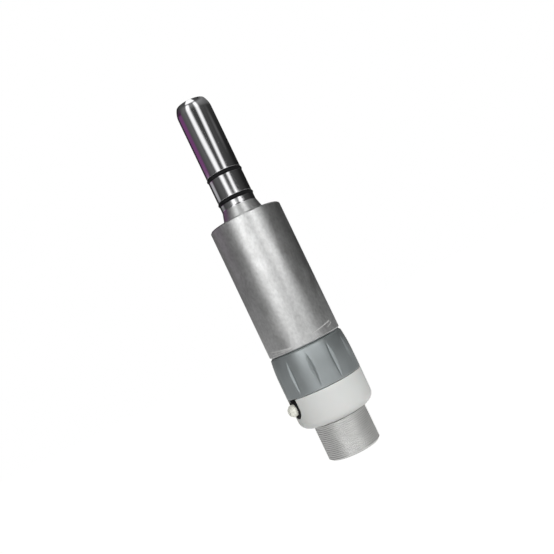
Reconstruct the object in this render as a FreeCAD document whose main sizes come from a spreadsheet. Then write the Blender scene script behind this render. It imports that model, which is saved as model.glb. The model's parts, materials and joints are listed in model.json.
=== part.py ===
import FreeCAD, Part
import os
import re

import Sketcher

# Dental air motor with a long handpiece spigot, a direction ring and a four-hole hose end
# The axis is Z with the spigot up, and the origin is the centre of the threaded end's rear plane.
# All sizes are in millimetres and all angles in degrees, measured from +X towards +Y.

Vector = FreeCAD.Vector
Rotation = FreeCAD.Rotation
Placement = FreeCAD.Placement

doc = FreeCAD.newDocument("DentalAirMotor")
sheet = doc.addObject("Spreadsheet::Sheet", "Sizes")
nodes = []

# Driving dimensions: each row is a name and a size
SIZES = [
    # How far a cutting outline reaches past the surface that it cuts
    ("cut_overrun", 1.0),
    # Lengths along the axis, from the threaded end up
    ("thread_length", 9.9),
    ("cover_length", 8.85),
    ("ring_gap", 0.12),
    ("ring_length", 11.21),
    ("case_length", 36.6),
    ("nose_length", 33.8),
    # Spigot
    ("nose_radius", 4.84),
    ("nose_bore", 2.9),
    ("lead_in_length", 2.9),
    ("lead_in_arc", 5.6),
    ("socket_radius", 3.1),
    ("socket_depth", 11.5),
    ("socket_chamfer", 0.3),
    ("flare_radius", 5.8),
    ("flare_length", 3.5),
    ("flange_thickness", 2.0),
    ("race_relief_radius", 3.9),
    ("race_relief_depth", 0.4),
    ("nose_seal_section", 1.0),
    ("nose_seal_proud", 0.2),
    ("nose_seal_front_z", 12.6),
    ("nose_seal_rear_z", 5.6),
    # Case
    ("case_radius", 10.0),
    ("case_wall", 1.5),
    ("case_front_wall", 2.0),
    ("case_edge", 0.35),
    ("seat_gap", 0.03),
    # Vane motor
    ("plate_web", 1.5),
    ("chamber_radius", 6.9),
    ("chamber_offset", 0.8),
    ("rotor_radius", 6.0),
    ("rotor_end_gap", 0.1),
    ("hub_radius", 2.6),
    ("plate_hole_radius", 3.1),
    ("shaft_radius", 2.0),
    ("shaft_end_gap", 0.2),
    ("drive_shaft_radius", 1.5),
    ("vane_count", 4),
    ("vane_thickness", 1.0),
    ("vane_height", 2.8),
    ("vane_gap", 0.03),
    ("vane_depth", 0.05),
    ("dowel_radius", 0.5),
    ("dowel_circle", 7.3),
    ("dowel_angle", 25.0),
    ("dowel_depth", 1.0),
    ("dowel_fit", 0.02),
    # Ball bearings
    ("bearing_width", 4.0),
    ("bearing_radius", 5.0),
    ("outer_land_radius", 4.1),
    ("inner_land_radius", 2.9),
    ("ball_circle", 3.5),
    ("ball_radius", 0.8),
    ("ball_count", 6),
    ("track_gap", 0.02),
    ("press_gap", 0.01),
    ("cage_inner_radius", 3.25),
    ("cage_outer_radius", 3.75),
    ("cage_length", 2.6),
    ("cage_pocket_gap", 0.06),
    ("washer_inner_radius", 4.25),
    ("washer_outer_radius", 5.0),
    ("washer_thickness", 0.2),
    ("washer_recess", 0.5),
    # Drive dog
    ("dog_radius", 2.6),
    ("dog_length", 10.5),
    ("dog_setback", 0.4),
    ("dog_fit", 0.05),
    ("dog_travel", 1.5),
    ("fork_width", 1.6),
    ("fork_depth", 3.0),
    ("dog_pin_radius", 0.5),
    ("dog_pin_height", 3.0),
    ("spring_length", 5.7),
    ("spring_radius", 2.05),
    ("spring_wire", 0.4),
    ("spring_turns", 4),
    ("spring_washer_radius", 2.4),
    ("spring_washer_thickness", 0.3),
    # Direction valve
    ("valve_spigot_length", 2.6),
    ("valve_step", 2.0),
    ("valve_wall", 2.0),
    ("valve_core_length", 4.3),
    ("disc_side_gap", 0.1),
    ("disc_thickness", 2.0),
    ("disc_gap", 0.05),
    ("ring_turn", 30.0),
    ("turn_margin", 7.0),
    ("valve_pin_radius", 0.6),
    ("valve_pin_inner", 4.3),
    ("valve_pin_reach", 1.1),
    ("port_circle", 5.1),
    ("port_radius", 0.5),
    ("port_angle", 60.0),
    ("kidney_inner", 5.3),
    ("kidney_outer", 7.0),
    ("kidney_depth", 2.0),
    ("kidney_sweep", 44.0),
    ("chamber_port_angle", 30.0),
    ("chamber_port_circle", 6.3),
    ("detent_from_case", 2.8),
    ("detent_ball_radius", 0.75),
    ("detent_ball_sink", 0.35),
    ("detent_fit", 0.05),
    ("detent_hole_depth", 3.5),
    ("detent_spring_radius", 0.5),
    ("detent_wire", 0.2),
    ("detent_turns", 3),
    ("detent_track_depth", 0.45),
    ("detent_dimple_depth", 0.2),
    ("detent_dimple_radius", 0.375),
    # Control ring
    ("ring_bore_gap", 0.05),
    ("ring_step", 0.5),
    ("ring_taper", 0.5),
    ("ring_taper_length", 4.4),
    ("ring_edge", 0.2),
    ("ring_front_edge", 0.4),
    ("flute_count", 11),
    ("flute_phase", 14.1),
    ("flute_depth", 0.6),
    ("flute_width", 1.8),
    ("flute_length", 12.4),
    ("flute_centre", 6.4),
    # Rear cover ring
    ("cover_taper", 0.1),
    ("cover_corner", 2.5),
    ("cover_lip", 1.9),
    ("cover_gap", 0.05),
    ("cover_edge", 0.15),
    ("notch_radius", 2.65),
    ("notch_from_front", 2.65),
    ("screw_angle", 166.0),
    ("screw_from_rear", 2.9),
    ("screw_radius", 0.8),
    ("screw_seat_depth", 1.0),
    ("screw_sink", 1.1),
    ("screw_socket_radius", 0.4),
    ("screw_socket_depth", 0.8),
    # Hose connector
    ("thread_radius", 7.25),
    ("thread_chamfer", 0.45),
    ("run_out_radius", 7.0),
    ("run_out_length", 0.4),
    ("spigot_fit", 0.05),
    ("recess_radius", 5.9),
    ("recess_depth", 3.0),
    ("tube_setback", 0.3),
    ("tube_seat_depth", 3.0),
    ("tube_fit", 0.01),
    ("tube_step", 0.2),
    ("drive_tube_radius", 1.15),
    ("drive_tube_bore", 0.8),
    ("drive_tube_place", 2.6),
    ("exhaust_radius", 1.7),
    ("exhaust_place", 2.9),
    ("small_tube_radius", 0.8),
    ("small_tube_bore", 0.4),
    ("small_tube_place", 3.9),
    # Side nipple
    ("nipple_radius", 1.6),
    ("nipple_stem_radius", 1.35),
    ("nipple_root_radius", 1.2),
    ("nipple_bore", 0.35),
    ("nipple_root", 5.5),
    ("nipple_reach", 1.6),
    ("nipple_taper_length", 0.8),
    ("nipple_tip_radius", 0.95),
    ("nipple_seal_outer", 2.6),
    ("nipple_seal_inner", 1.38),
    ("nipple_seal_sink", 0.9),
    ("nipple_neck_length", 0.2),
    # Inner seals
    ("seal_width", 0.9),
    ("seal_height", 0.85),
    ("seal_side_gap", 0.05),
    ("seal_clearance", 0.01),
    ("seal_bevel", 0.25),
    ("case_seal_from_front", 1.3),
    ("ring_seal_front", 0.95),
    ("ring_seal_rear", 1.65),
    ("spigot_seal", 2.5),
]

# Heights worked out from the lengths above
cover_rear_z = "thread_length"
cover_front_z = f"({cover_rear_z} + cover_length)"
ring_rear_z = f"({cover_front_z} + ring_gap)"
ring_front_z = f"({ring_rear_z} + ring_length)"
case_rear_z = f"({ring_front_z} + ring_gap)"
case_front_z = f"({case_rear_z} + case_length)"
tip_z = f"({case_front_z} + nose_length)"
front_wall_z = f"({case_front_z} - case_front_wall)"
flange_z = f"({front_wall_z} - flange_thickness)"
front_bearing_z = f"({flange_z} - bearing_width)"
chamber_front_z = f"({front_bearing_z} - plate_web)"
valve_front_z = f"({case_rear_z} + valve_spigot_length)"
rear_bearing_z = valve_front_z
rear_web_z = f"({rear_bearing_z} + bearing_width)"
chamber_rear_z = f"({rear_web_z} + plate_web)"
socket_floor_z = f"({tip_z} - socket_depth)"
dog_front_z = f"({socket_floor_z} - dog_setback)"
dog_rear_z = f"({dog_front_z} - dog_length)"
dog_pin_z = f"({dog_rear_z} + dog_pin_height)"
spring_z = f"({dog_rear_z} - spring_length)"
shaft_step_z = f"({spring_z} - spring_washer_thickness)"
shaft_end_z = f"({dog_front_z} - fork_depth - dog_travel)"
valve_floor_z = f"({case_rear_z} - valve_core_length)"
disc_front_z = f"({valve_floor_z} - disc_gap)"
disc_rear_z = f"({disc_front_z} - disc_thickness)"
disc_middle_z = f"({disc_rear_z} + disc_thickness / 2)"
spigot_front_z = f"({disc_rear_z} - disc_gap)"
detent_z = f"({case_rear_z} - detent_from_case)"
nipple_z = f"({cover_front_z} - notch_from_front)"
screw_z = f"({cover_rear_z} + screw_from_rear)"
cover_shoulder_z = f"({cover_rear_z} + cover_lip)"

# Radii worked out from the sizes above
ring_radius = "(case_radius + ring_step)"
ring_front_radius = f"({ring_radius} - ring_taper)"
cover_front_radius = ring_radius
cover_rear_radius = f"({cover_front_radius} - cover_taper)"
valve_radius = "(case_radius - valve_step)"
valve_socket_radius = f"({valve_radius} - valve_wall)"
disc_radius = f"({valve_socket_radius} - disc_side_gap)"
valve_pin_outer = f"({valve_radius} + valve_pin_reach)"
detent_ball_place = f"({valve_radius} - detent_ball_sink)"
detent_hole_floor = f"({valve_radius} - detent_hole_depth)"
screw_inner = f"({valve_radius} - screw_seat_depth)"
screw_outer = f"({cover_rear_radius} - screw_sink)"
nipple_tip = f"({cover_front_radius} + nipple_reach)"
nipple_seal_face = f"({cover_front_radius} - nipple_seal_sink)"
case_bore = "(case_radius - case_wall)"
inside_case = f"({case_bore} - seat_gap)"
tip_radius = "(nose_radius - lead_in_arc + sqrt(lead_in_arc^2 - lead_in_length^2))"
ring_bore = f"({valve_radius} + ring_bore_gap)"
cover_bore = f"({valve_radius} + cover_gap)"
lip_bore = "(thread_radius + cover_gap)"
spigot_radius = f"({valve_socket_radius} - spigot_fit)"


def in_sheet(expression):
    """The expression with each size read from the spreadsheet."""
    return re.sub(r"\b[a-z]\w*\b(?!\()", r"Sizes.\g<0>", expression)


def size(expression):
    """The number that an expression of sizes comes to."""
    result = sheet.evalExpression(expression)
    return float(getattr(result, "Value", result))


def fill_sheet():
    """Writes each driving dimension into its own named cell."""
    for row, (alias, number) in enumerate(SIZES, start=1):
        sheet.set(f"A{row}", alias)
        sheet.set(f"B{row}", str(number))
        sheet.setAlias(f"B{row}", alias)
    doc.recompute()


def keep(piece):
    """Marks an object as a piece of the motor."""
    nodes.append(piece)
    return piece


def origin_part(body, role):
    """One of the body's own origin planes or axes."""
    return next(part for part in body.Origin.OriginFeatures if part.Role == role)


def sketch_on(body, name, role, offset="0", angle="0"):
    """A sketch on an origin plane, turned about the body's Z axis and then moved along its normal."""
    sketch = body.newObject("Sketcher::SketchObject", name)
    sketch.AttachmentSupport = [(origin_part(body, role), "")]
    sketch.MapMode = "FlatFace"
    level = role == "XY_Plane"
    upright = Vector(0, 0, 1) if level else Vector(0, 1, 0)
    if abs(size(angle)) > 0:
        sketch.AttachmentOffset = Placement(Vector(), Rotation(upright, size(angle)))
        sketch.setExpression("AttachmentOffset.Rotation.Angle", in_sheet(angle))
    if level:
        sketch.setExpression("AttachmentOffset.Base.z", in_sheet(offset))
    else:
        sketch.setExpression("AttachmentOffset.Base.x", in_sheet(f"({offset}) * sin({angle})"))
        sketch.setExpression("AttachmentOffset.Base.z", in_sheet(f"({offset}) * cos({angle})"))
    return sketch


def hold_distance(sketch, kind, axis, edge, end, expression):
    """Ties one coordinate of a point to the sheet, on either side of the sketch's axis."""
    number = size(expression)
    if abs(number) < 1e-9:
        sketch.addConstraint(Sketcher.Constraint("PointOnObject", edge, end, axis))
    elif number > 0:
        index = sketch.addConstraint(Sketcher.Constraint(kind, -1, 1, edge, end, number))
        sketch.setExpression(f"Constraints[{index}]", in_sheet(expression))
    else:
        index = sketch.addConstraint(Sketcher.Constraint(kind, edge, end, -1, 1, -number))
        sketch.setExpression(f"Constraints[{index}]", in_sheet(f"-({expression})"))


def hold_point(sketch, edge, end, across, up):
    """Ties a point of the sketch to the sheet."""
    hold_distance(sketch, "DistanceX", -2, edge, end, across)
    hold_distance(sketch, "DistanceY", -1, edge, end, up)


def arc_between(start, end, radius):
    """An arc from start to end, which bends to the left for a positive radius."""
    chord = end - start
    middle = (start + end) * 0.5
    left = Vector(-chord.y, chord.x, 0).normalize()
    reach = (radius ** 2 - (chord.Length / 2) ** 2) ** 0.5
    side = 1 if radius > 0 else -1
    centre = middle - left * reach * side
    crown = centre + left * abs(radius) * side
    return Part.Arc(start, crown, end)


def draw_outline(sketch, outline):
    """A closed outline of points, each (across, up) or, at an arc's end, (across, up, radius)."""
    points = [Vector(size(point[0]), size(point[1]), 0) for point in outline]
    ends = []
    for index, point in enumerate(outline):
        start = points[index - 1]
        if len(point) == 3:
            radius = size(point[2])
            edge = sketch.addGeometry(arc_between(start, points[index], radius))
            ends.append((edge, 2, 1) if radius > 0 else (edge, 1, 2))
        else:
            edge = sketch.addGeometry(Part.LineSegment(start, points[index]))
            ends.append((edge, 1, 2))
    for index, (edge, first, last) in enumerate(ends):
        previous, _, previous_last = ends[index - 1]
        sketch.addConstraint(Sketcher.Constraint("Coincident", previous, previous_last, edge, first))
    for (edge, first, last), point in zip(ends, outline):
        hold_point(sketch, edge, last, point[0], point[1])
        if len(point) == 3:
            index = sketch.addConstraint(Sketcher.Constraint("Radius", edge, abs(size(point[2]))))
            sketch.setExpression(f"Constraints[{index}]", in_sheet(f"abs({point[2]})"))


def draw_circle(sketch, across, up, radius):
    """A circle with its centre and radius tied to the sheet."""
    centre = Vector(size(across), size(up), 0)
    edge = sketch.addGeometry(Part.Circle(centre, Vector(0, 0, 1), size(radius)))
    hold_point(sketch, edge, 3, across, up)
    index = sketch.addConstraint(Sketcher.Constraint("Radius", edge, size(radius)))
    sketch.setExpression(f"Constraints[{index}]", in_sheet(radius))


def rectangle(left, right, low, high):
    """The outline of an upright rectangle."""
    return [(left, low), (right, low), (right, high), (left, high)]


def add_feature(body, kind, name, sketch):
    """A sketch-based feature of the body."""
    feature = body.newObject(kind, name)
    feature.Profile = sketch
    return feature


def finish_cut(body, feature):
    """Recomputes after a cut and makes sure that it took something away."""
    before = body.Shape.Volume
    body.Tip = feature
    doc.recompute()
    if not body.Shape.Volume < before:
        raise RuntimeError(f"{feature.Name} cut nothing")
    return feature


def turned(label, outline):
    """A piece turned about its own Z axis from an outline of (radius, height) points."""
    body = doc.addObject("PartDesign::Body", label)
    sketch = sketch_on(body, f"{label}_section", "XZ_Plane")
    draw_outline(sketch, outline)
    feature = add_feature(body, "PartDesign::Revolution", f"{label}_turned", sketch)
    feature.ReferenceAxis = (sketch, ["V_Axis"])
    feature.Angle = 360
    body.Tip = feature
    doc.recompute()
    return body


def groove(body, name, outline, angle, sweep):
    """Cuts a turned groove that spreads evenly to both sides of an angle."""
    sketch = sketch_on(body, f"{name}_section", "XZ_Plane", angle=angle)
    draw_outline(sketch, outline)
    feature = add_feature(body, "PartDesign::Groove", name, sketch)
    feature.ReferenceAxis = (sketch, ["V_Axis"])
    feature.Midplane = True
    feature.setExpression("Angle", in_sheet(sweep))
    return finish_cut(body, feature)


def pocket(body, sketch, name, length, along_normal=False, both_ways=False):
    """Cuts a sketch straight into the body."""
    feature = add_feature(body, "PartDesign::Pocket", name, sketch)
    feature.Reversed = along_normal
    feature.Midplane = both_ways
    feature.setExpression("Length", in_sheet(length))
    return finish_cut(body, feature)


def drill(body, name, across, up, radius, floor, depth):
    """A hole parallel to Z, from a height upwards."""
    sketch = sketch_on(body, f"{name}_circle", "XY_Plane", offset=floor)
    draw_circle(sketch, across, up, radius)
    return pocket(body, sketch, name, depth, along_normal=True)


def around_axis(body, feature, count):
    """Repeats a feature evenly round the body's Z axis."""
    pattern = body.newObject("PartDesign::PolarPattern", f"{feature.Name}_round")
    pattern.Originals = [feature]
    pattern.Axis = (origin_part(body, "Z_Axis"), [""])
    pattern.Angle = 360
    pattern.setExpression("Occurrences", in_sheet(count))
    return finish_cut(body, pattern)


def move(piece, across, along, up):
    """Ties the piece's place to the sheet."""
    piece.setExpression("Placement.Base.x", in_sheet(across))
    piece.setExpression("Placement.Base.y", in_sheet(along))
    piece.setExpression("Placement.Base.z", in_sheet(up))
    return piece


def seal_ring(label, inner, outer, middle):
    """A seal squeezed flat where it presses, with its corners bevelled."""
    low = f"({middle} - seal_width / 2)"
    high = f"({middle} + seal_width / 2)"
    outline = [
        (inner, f"{low} + seal_bevel"),
        (f"{inner} + seal_bevel", low),
        (f"{outer} - seal_bevel", low),
        (outer, f"{low} + seal_bevel"),
        (outer, f"{high} - seal_bevel"),
        (f"{outer} - seal_bevel", high),
        (f"{inner} + seal_bevel", high),
        (inner, f"{high} - seal_bevel"),
    ]
    return keep(turned(label, outline))


def seal_groove(middle, face, floor):
    """The outline points of a seal's groove in an outside wall, from its upper end down."""
    high = f"{middle} + seal_width / 2 + seal_side_gap"
    low = f"{middle} - seal_width / 2 - seal_side_gap"
    return [(face, high), (floor, high), (floor, low), (face, low)]


def coil_spring(label, radius, wire, length, turns):
    """A coil of square wire that stands on z = 0."""
    line = doc.addObject("Part::Helix", f"{label}_line")
    line.setExpression("Radius", in_sheet(radius))
    line.setExpression("Height", in_sheet(f"{length} - {wire}"))
    line.setExpression("Pitch", in_sheet(f"({length} - {wire}) / {turns}"))
    section = doc.addObject("Part::RegularPolygon", f"{label}_wire")
    section.Polygon = 4
    section.setExpression("Circumradius", in_sheet(f"{wire} / sqrt(2)"))
    section.Placement = Placement(Vector(), Rotation(Vector(1, 0, 0), 90))
    doc.recompute()
    square_up = Rotation(Vector(0, 0, 1), 45)
    section.Placement = Placement(Vector(size(radius), 0, 0), Rotation(Vector(1, 0, 0), 90) * square_up)
    section.setExpression("Placement.Base.x", in_sheet(radius))
    spring = doc.addObject("Part::Sweep", label)
    spring.Sections = [section]
    spring.Spine = (line, [f"Edge{index + 1}" for index in range(len(line.Shape.Edges))])
    spring.Solid = True
    spring.Frenet = True
    doc.recompute()
    return keep(spring)


def nose_sleeve():
    """The spigot: a flange inside the case, a flared root, two seal grooves and a rounded end."""
    groove_floor = "(nose_radius + nose_seal_proud - nose_seal_section)"
    half = "(nose_seal_section / 2 + seal_side_gap)"
    front = f"({case_front_z} + nose_seal_front_z)"
    rear = f"({case_front_z} + nose_seal_rear_z)"
    outline = [
        ("race_relief_radius", flange_z),
        (inside_case, flange_z),
        (inside_case, front_wall_z),
        ("flare_radius", front_wall_z),
        ("flare_radius", case_front_z),
        ("nose_radius", f"{case_front_z} + flare_length"),
        ("nose_radius", f"{rear} - {half}"),
        (groove_floor, f"{rear} - {half}"),
        (groove_floor, f"{rear} + {half}"),
        ("nose_radius", f"{rear} + {half}"),
        ("nose_radius", f"{front} - {half}"),
        (groove_floor, f"{front} - {half}"),
        (groove_floor, f"{front} + {half}"),
        ("nose_radius", f"{front} + {half}"),
        ("nose_radius", f"{tip_z} - lead_in_length"),
        (tip_radius, tip_z, "-lead_in_arc"),
        ("socket_radius + socket_chamfer", tip_z),
        ("socket_radius", f"{tip_z} - socket_chamfer"),
        ("socket_radius", socket_floor_z),
        ("nose_bore", socket_floor_z),
        ("nose_bore", f"{flange_z} + race_relief_depth"),
        ("race_relief_radius", f"{flange_z} + race_relief_depth"),
    ]
    return keep(turned("nose_sleeve", outline))


def nose_o_ring(label, height):
    """One of the round seals on the spigot."""
    ring = doc.addObject("Part::Torus", label)
    middle = "nose_radius + nose_seal_proud - nose_seal_section / 2"
    ring.setExpression("Radius1", in_sheet(f"{middle} + seal_clearance"))
    ring.setExpression("Radius2", in_sheet("nose_seal_section / 2 - seal_clearance"))
    return keep(move(ring, "0", "0", f"{case_front_z} + {height}"))


def motor_case():
    """The shell over the motor, closed in front by a wall that the spigot passes through."""
    outline = [
        (case_bore, case_rear_z),
        ("case_radius - case_edge", case_rear_z),
        ("case_radius", f"{case_rear_z} + case_edge"),
        ("case_radius", f"{case_front_z} - case_edge"),
        ("case_radius - case_edge", case_front_z),
        ("flare_radius + seat_gap", case_front_z),
        ("flare_radius + seat_gap", front_wall_z),
        (case_bore, front_wall_z),
    ]
    return keep(turned("motor_case", outline))


def dowel_holes(body, floor, depth):
    """The two holes for the dowels that line up the chamber."""
    for side in (-1, 1):
        angle = f"(270 + {side} * dowel_angle)"
        name = f"{body.Name}_dowel_{'left' if side < 0 else 'right'}"
        across = f"dowel_circle * cos({angle})"
        up = f"dowel_circle * sin({angle})"
        drill(body, name, across, up, "dowel_radius + dowel_fit", floor, depth)


def front_end_plate():
    """The plate that closes the chamber in front and seats the front bearing."""
    outline = [
        ("plate_hole_radius", chamber_front_z),
        (inside_case, chamber_front_z),
        (inside_case, flange_z),
        ("bearing_radius + press_gap", flange_z),
        ("bearing_radius + press_gap", front_bearing_z),
        ("plate_hole_radius", front_bearing_z),
    ]
    body = turned("front_end_plate", outline)
    dowel_holes(body, chamber_front_z, "dowel_depth + dowel_fit")
    return keep(body)


def rear_end_plate():
    """The plate behind the chamber, with the rear bearing's seat and the air ports."""
    outline = [
        ("bearing_radius + press_gap", rear_bearing_z),
        (inside_case, rear_bearing_z),
        (inside_case, chamber_rear_z),
        ("plate_hole_radius", chamber_rear_z),
        ("plate_hole_radius", rear_web_z),
        ("bearing_radius + press_gap", rear_web_z),
    ]
    body = turned("rear_end_plate", outline)
    dowel_floor = f"({chamber_rear_z} - dowel_depth - dowel_fit)"
    dowel_holes(body, dowel_floor, "dowel_depth + dowel_fit")
    depth = f"{chamber_rear_z} - {rear_bearing_z}"
    for name, angle in (
        ("forward", "-chamber_port_angle"),
        ("reverse", "180 + chamber_port_angle"),
        ("exhaust", "90"),
    ):
        across = f"chamber_port_circle * cos({angle})"
        up = f"chamber_port_circle * sin({angle})"
        drill(body, f"plate_{name}_port", across, up, "port_radius", rear_bearing_z, depth)
    return keep(body)


def cylinder_liner():
    """The chamber wall, with its bore set off towards +Y."""
    body = doc.addObject("PartDesign::Body", "cylinder_liner")
    sketch = sketch_on(body, "liner_circle", "XY_Plane", offset=chamber_rear_z)
    draw_circle(sketch, "0", "0", inside_case)
    draw_circle(sketch, "0", "chamber_offset", "chamber_radius")
    length = f"{chamber_front_z} - {chamber_rear_z}"
    feature = add_feature(body, "PartDesign::Pad", "liner_wall", sketch)
    feature.setExpression("Length", in_sheet(length))
    body.Tip = feature
    doc.recompute()
    dowel_holes(body, chamber_rear_z, length)
    return keep(body)


def alignment_pins():
    """Two dowels through the liner into both end plates."""
    pins = []
    for side in (-1, 1):
        pin = doc.addObject("Part::Cylinder", f"dowel_{'left' if side < 0 else 'right'}")
        pin.setExpression("Radius", in_sheet("dowel_radius"))
        pin.setExpression("Height", in_sheet(f"{chamber_front_z} - {chamber_rear_z} + 2 * dowel_depth"))
        angle = f"(270 + {side} * dowel_angle)"
        across = f"dowel_circle * cos({angle})"
        along = f"dowel_circle * sin({angle})"
        pins.append(move(pin, across, along, f"{chamber_rear_z} - dowel_depth"))
    return group("alignment_pins", pins)


def group(label, pieces):
    """Like pieces kept together as separate solids."""
    compound = doc.addObject("Part::Compound", label)
    compound.Links = pieces
    doc.recompute()
    return keep(compound)


def rotor():
    """The slotted rotor on its shaft, which steps down in front to carry the drive dog."""
    low = f"({chamber_rear_z} + rotor_end_gap)"
    high = f"({chamber_front_z} - rotor_end_gap)"
    outline = [
        ("0", f"{rear_bearing_z} + shaft_end_gap"),
        ("shaft_radius", f"{rear_bearing_z} + shaft_end_gap"),
        ("shaft_radius", rear_web_z),
        ("hub_radius", rear_web_z),
        ("hub_radius", low),
        ("rotor_radius", low),
        ("rotor_radius", high),
        ("hub_radius", high),
        ("hub_radius", front_bearing_z),
        ("shaft_radius", front_bearing_z),
        ("shaft_radius", shaft_step_z),
        ("drive_shaft_radius", shaft_step_z),
        ("drive_shaft_radius", shaft_end_z),
        ("0", shaft_end_z),
    ]
    body = turned("rotor", outline)
    slot = sketch_on(body, "vane_slot_outline", "XY_Plane", offset=low)
    floor = "(rotor_radius - vane_depth - vane_height - vane_gap)"
    half = "(vane_thickness / 2 + vane_gap)"
    draw_outline(slot, rectangle(floor, "rotor_radius + cut_overrun", f"-{half}", half))
    cut = pocket(body, slot, "vane_slot", f"{high} - {low}", along_normal=True)
    around_axis(body, cut, "vane_count")
    hole = sketch_on(body, "dog_pin_circle", "YZ_Plane")
    draw_circle(hole, "0", dog_pin_z, "dog_pin_radius + press_gap")
    pocket(body, hole, "dog_pin_hole", "2 * (drive_shaft_radius + cut_overrun)", both_ways=True)
    return keep(body)


def vanes():
    """The blades, drawn back into their slots."""
    count = int(size("vane_count"))
    for index in range(count):
        vane = doc.addObject("Part::Box", f"vane_{index + 1}")
        vane.setExpression("Length", in_sheet("vane_height"))
        vane.setExpression("Width", in_sheet("vane_thickness"))
        length = f"{chamber_front_z} - {chamber_rear_z} - 2 * rotor_end_gap - 2 * vane_gap"
        vane.setExpression("Height", in_sheet(length))
        turn = index * 360 / count
        floor = "(rotor_radius - vane_depth - vane_height)"
        half = "(vane_thickness / 2)"
        vane.Placement = Placement(Vector(), Rotation(Vector(0, 0, 1), turn))
        across = f"{floor} * cos({turn}) + {half} * sin({turn})"
        along = f"{floor} * sin({turn}) - {half} * cos({turn})"
        keep(move(vane, across, along, f"{chamber_rear_z} + rotor_end_gap + vane_gap"))


def bearing(prefix, low):
    """A ball bearing: two races with round tracks, the balls and their cage."""
    high = f"({low} + bearing_width)"
    middle = f"({low} + bearing_width / 2)"
    track = "(ball_radius + track_gap)"
    outer_reach = f"sqrt({track}^2 - (outer_land_radius - ball_circle)^2)"
    inner_reach = f"sqrt({track}^2 - (ball_circle - inner_land_radius)^2)"
    outer = [
        ("outer_land_radius", low),
        ("bearing_radius", low),
        ("bearing_radius", high),
        ("outer_land_radius", high),
        ("outer_land_radius", f"{middle} + {outer_reach}"),
        ("outer_land_radius", f"{middle} - {outer_reach}", track),
    ]
    keep(turned(f"{prefix}_bearing_outer_race", outer))
    inner = [
        ("shaft_radius + press_gap", low),
        ("inner_land_radius", low),
        ("inner_land_radius", f"{middle} - {inner_reach}"),
        ("inner_land_radius", f"{middle} + {inner_reach}", track),
        ("inner_land_radius", high),
        ("shaft_radius + press_gap", high),
    ]
    keep(turned(f"{prefix}_bearing_inner_race", inner))
    bearing_cage(prefix, middle)
    bearing_balls(prefix, middle)


def bearing_cage(prefix, middle):
    """The ring that spaces the balls."""
    low = f"{middle} - cage_length / 2"
    high = f"{middle} + cage_length / 2"
    outline = rectangle("cage_inner_radius", "cage_outer_radius", low, high)
    body = turned(f"{prefix}_bearing_cage", outline)
    sketch = sketch_on(body, f"{prefix}_cage_pocket_circle", "YZ_Plane")
    draw_circle(sketch, "0", middle, "ball_radius + cage_pocket_gap")
    cut = pocket(body, sketch, f"{prefix}_cage_pocket", "2 * ball_circle", along_normal=True)
    around_axis(body, cut, "ball_count")
    keep(body)


def bearing_balls(prefix, middle):
    """The balls, evenly spaced."""
    count = int(size("ball_count"))
    balls = []
    for index in range(count):
        ball = doc.addObject("Part::Sphere", f"{prefix}_ball_{index + 1}")
        ball.setExpression("Radius", in_sheet("ball_radius"))
        turn = index * 360 / count
        balls.append(move(ball, f"ball_circle * cos({turn})", f"ball_circle * sin({turn})", middle))
    group(f"{prefix}_bearing_balls", balls)


def preload_washer():
    """A dished washer that presses the rear bearing forward."""
    floor = f"({rear_bearing_z} - washer_recess)"
    outline = [
        ("washer_inner_radius", f"{rear_bearing_z} - washer_thickness"),
        ("washer_outer_radius", floor),
        ("washer_outer_radius", f"{floor} + washer_thickness"),
        ("washer_inner_radius", rear_bearing_z),
    ]
    return keep(turned("preload_washer", outline))


def drive_dog():
    """The fork that turns the handpiece's shaft, free to slide back on its own shaft."""
    outline = rectangle("drive_shaft_radius + dog_fit", "dog_radius", dog_rear_z, dog_front_z)
    body = turned("drive_dog", outline)
    fork = sketch_on(body, "fork_outline", "XZ_Plane")
    half = "(fork_width / 2)"
    floor = f"{dog_front_z} - fork_depth"
    draw_outline(fork, rectangle(f"-{half}", half, floor, f"{dog_front_z} + cut_overrun"))
    through = "2 * (dog_radius + cut_overrun)"
    pocket(body, fork, "fork_slot", through, both_ways=True)
    window = sketch_on(body, "dog_window_outline", "YZ_Plane")
    wide = "(dog_pin_radius + dog_fit)"
    low = f"{dog_pin_z} - {wide}"
    high = f"{dog_pin_z} + {wide} + dog_travel"
    draw_outline(window, rectangle(f"-{wide}", wide, low, high))
    pocket(body, window, "dog_window", through, both_ways=True)
    return keep(body)


def dog_pin():
    """The cross pin that drives the dog."""
    pin = doc.addObject("Part::Cylinder", "dog_pin")
    pin.setExpression("Radius", in_sheet("dog_pin_radius"))
    pin.setExpression("Height", in_sheet("2 * (dog_radius - dog_fit)"))
    pin.Placement = Placement(Vector(), Rotation(Vector(0, 1, 0), 90))
    return keep(move(pin, "dog_fit - dog_radius", "0", dog_pin_z))


def dog_spring():
    """The spring that holds the dog forward, and the washer that it stands on."""
    washer = rectangle("drive_shaft_radius + dog_fit", "spring_washer_radius", shaft_step_z, spring_z)
    keep(turned("spring_washer", washer))
    length = "(spring_length - spring_wire)"
    spring = coil_spring("dog_spring", "spring_radius", "spring_wire", length, "spring_turns")
    spring.setExpression("Placement.Base.z", in_sheet(f"{spring_z} + spring_wire"))


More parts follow.
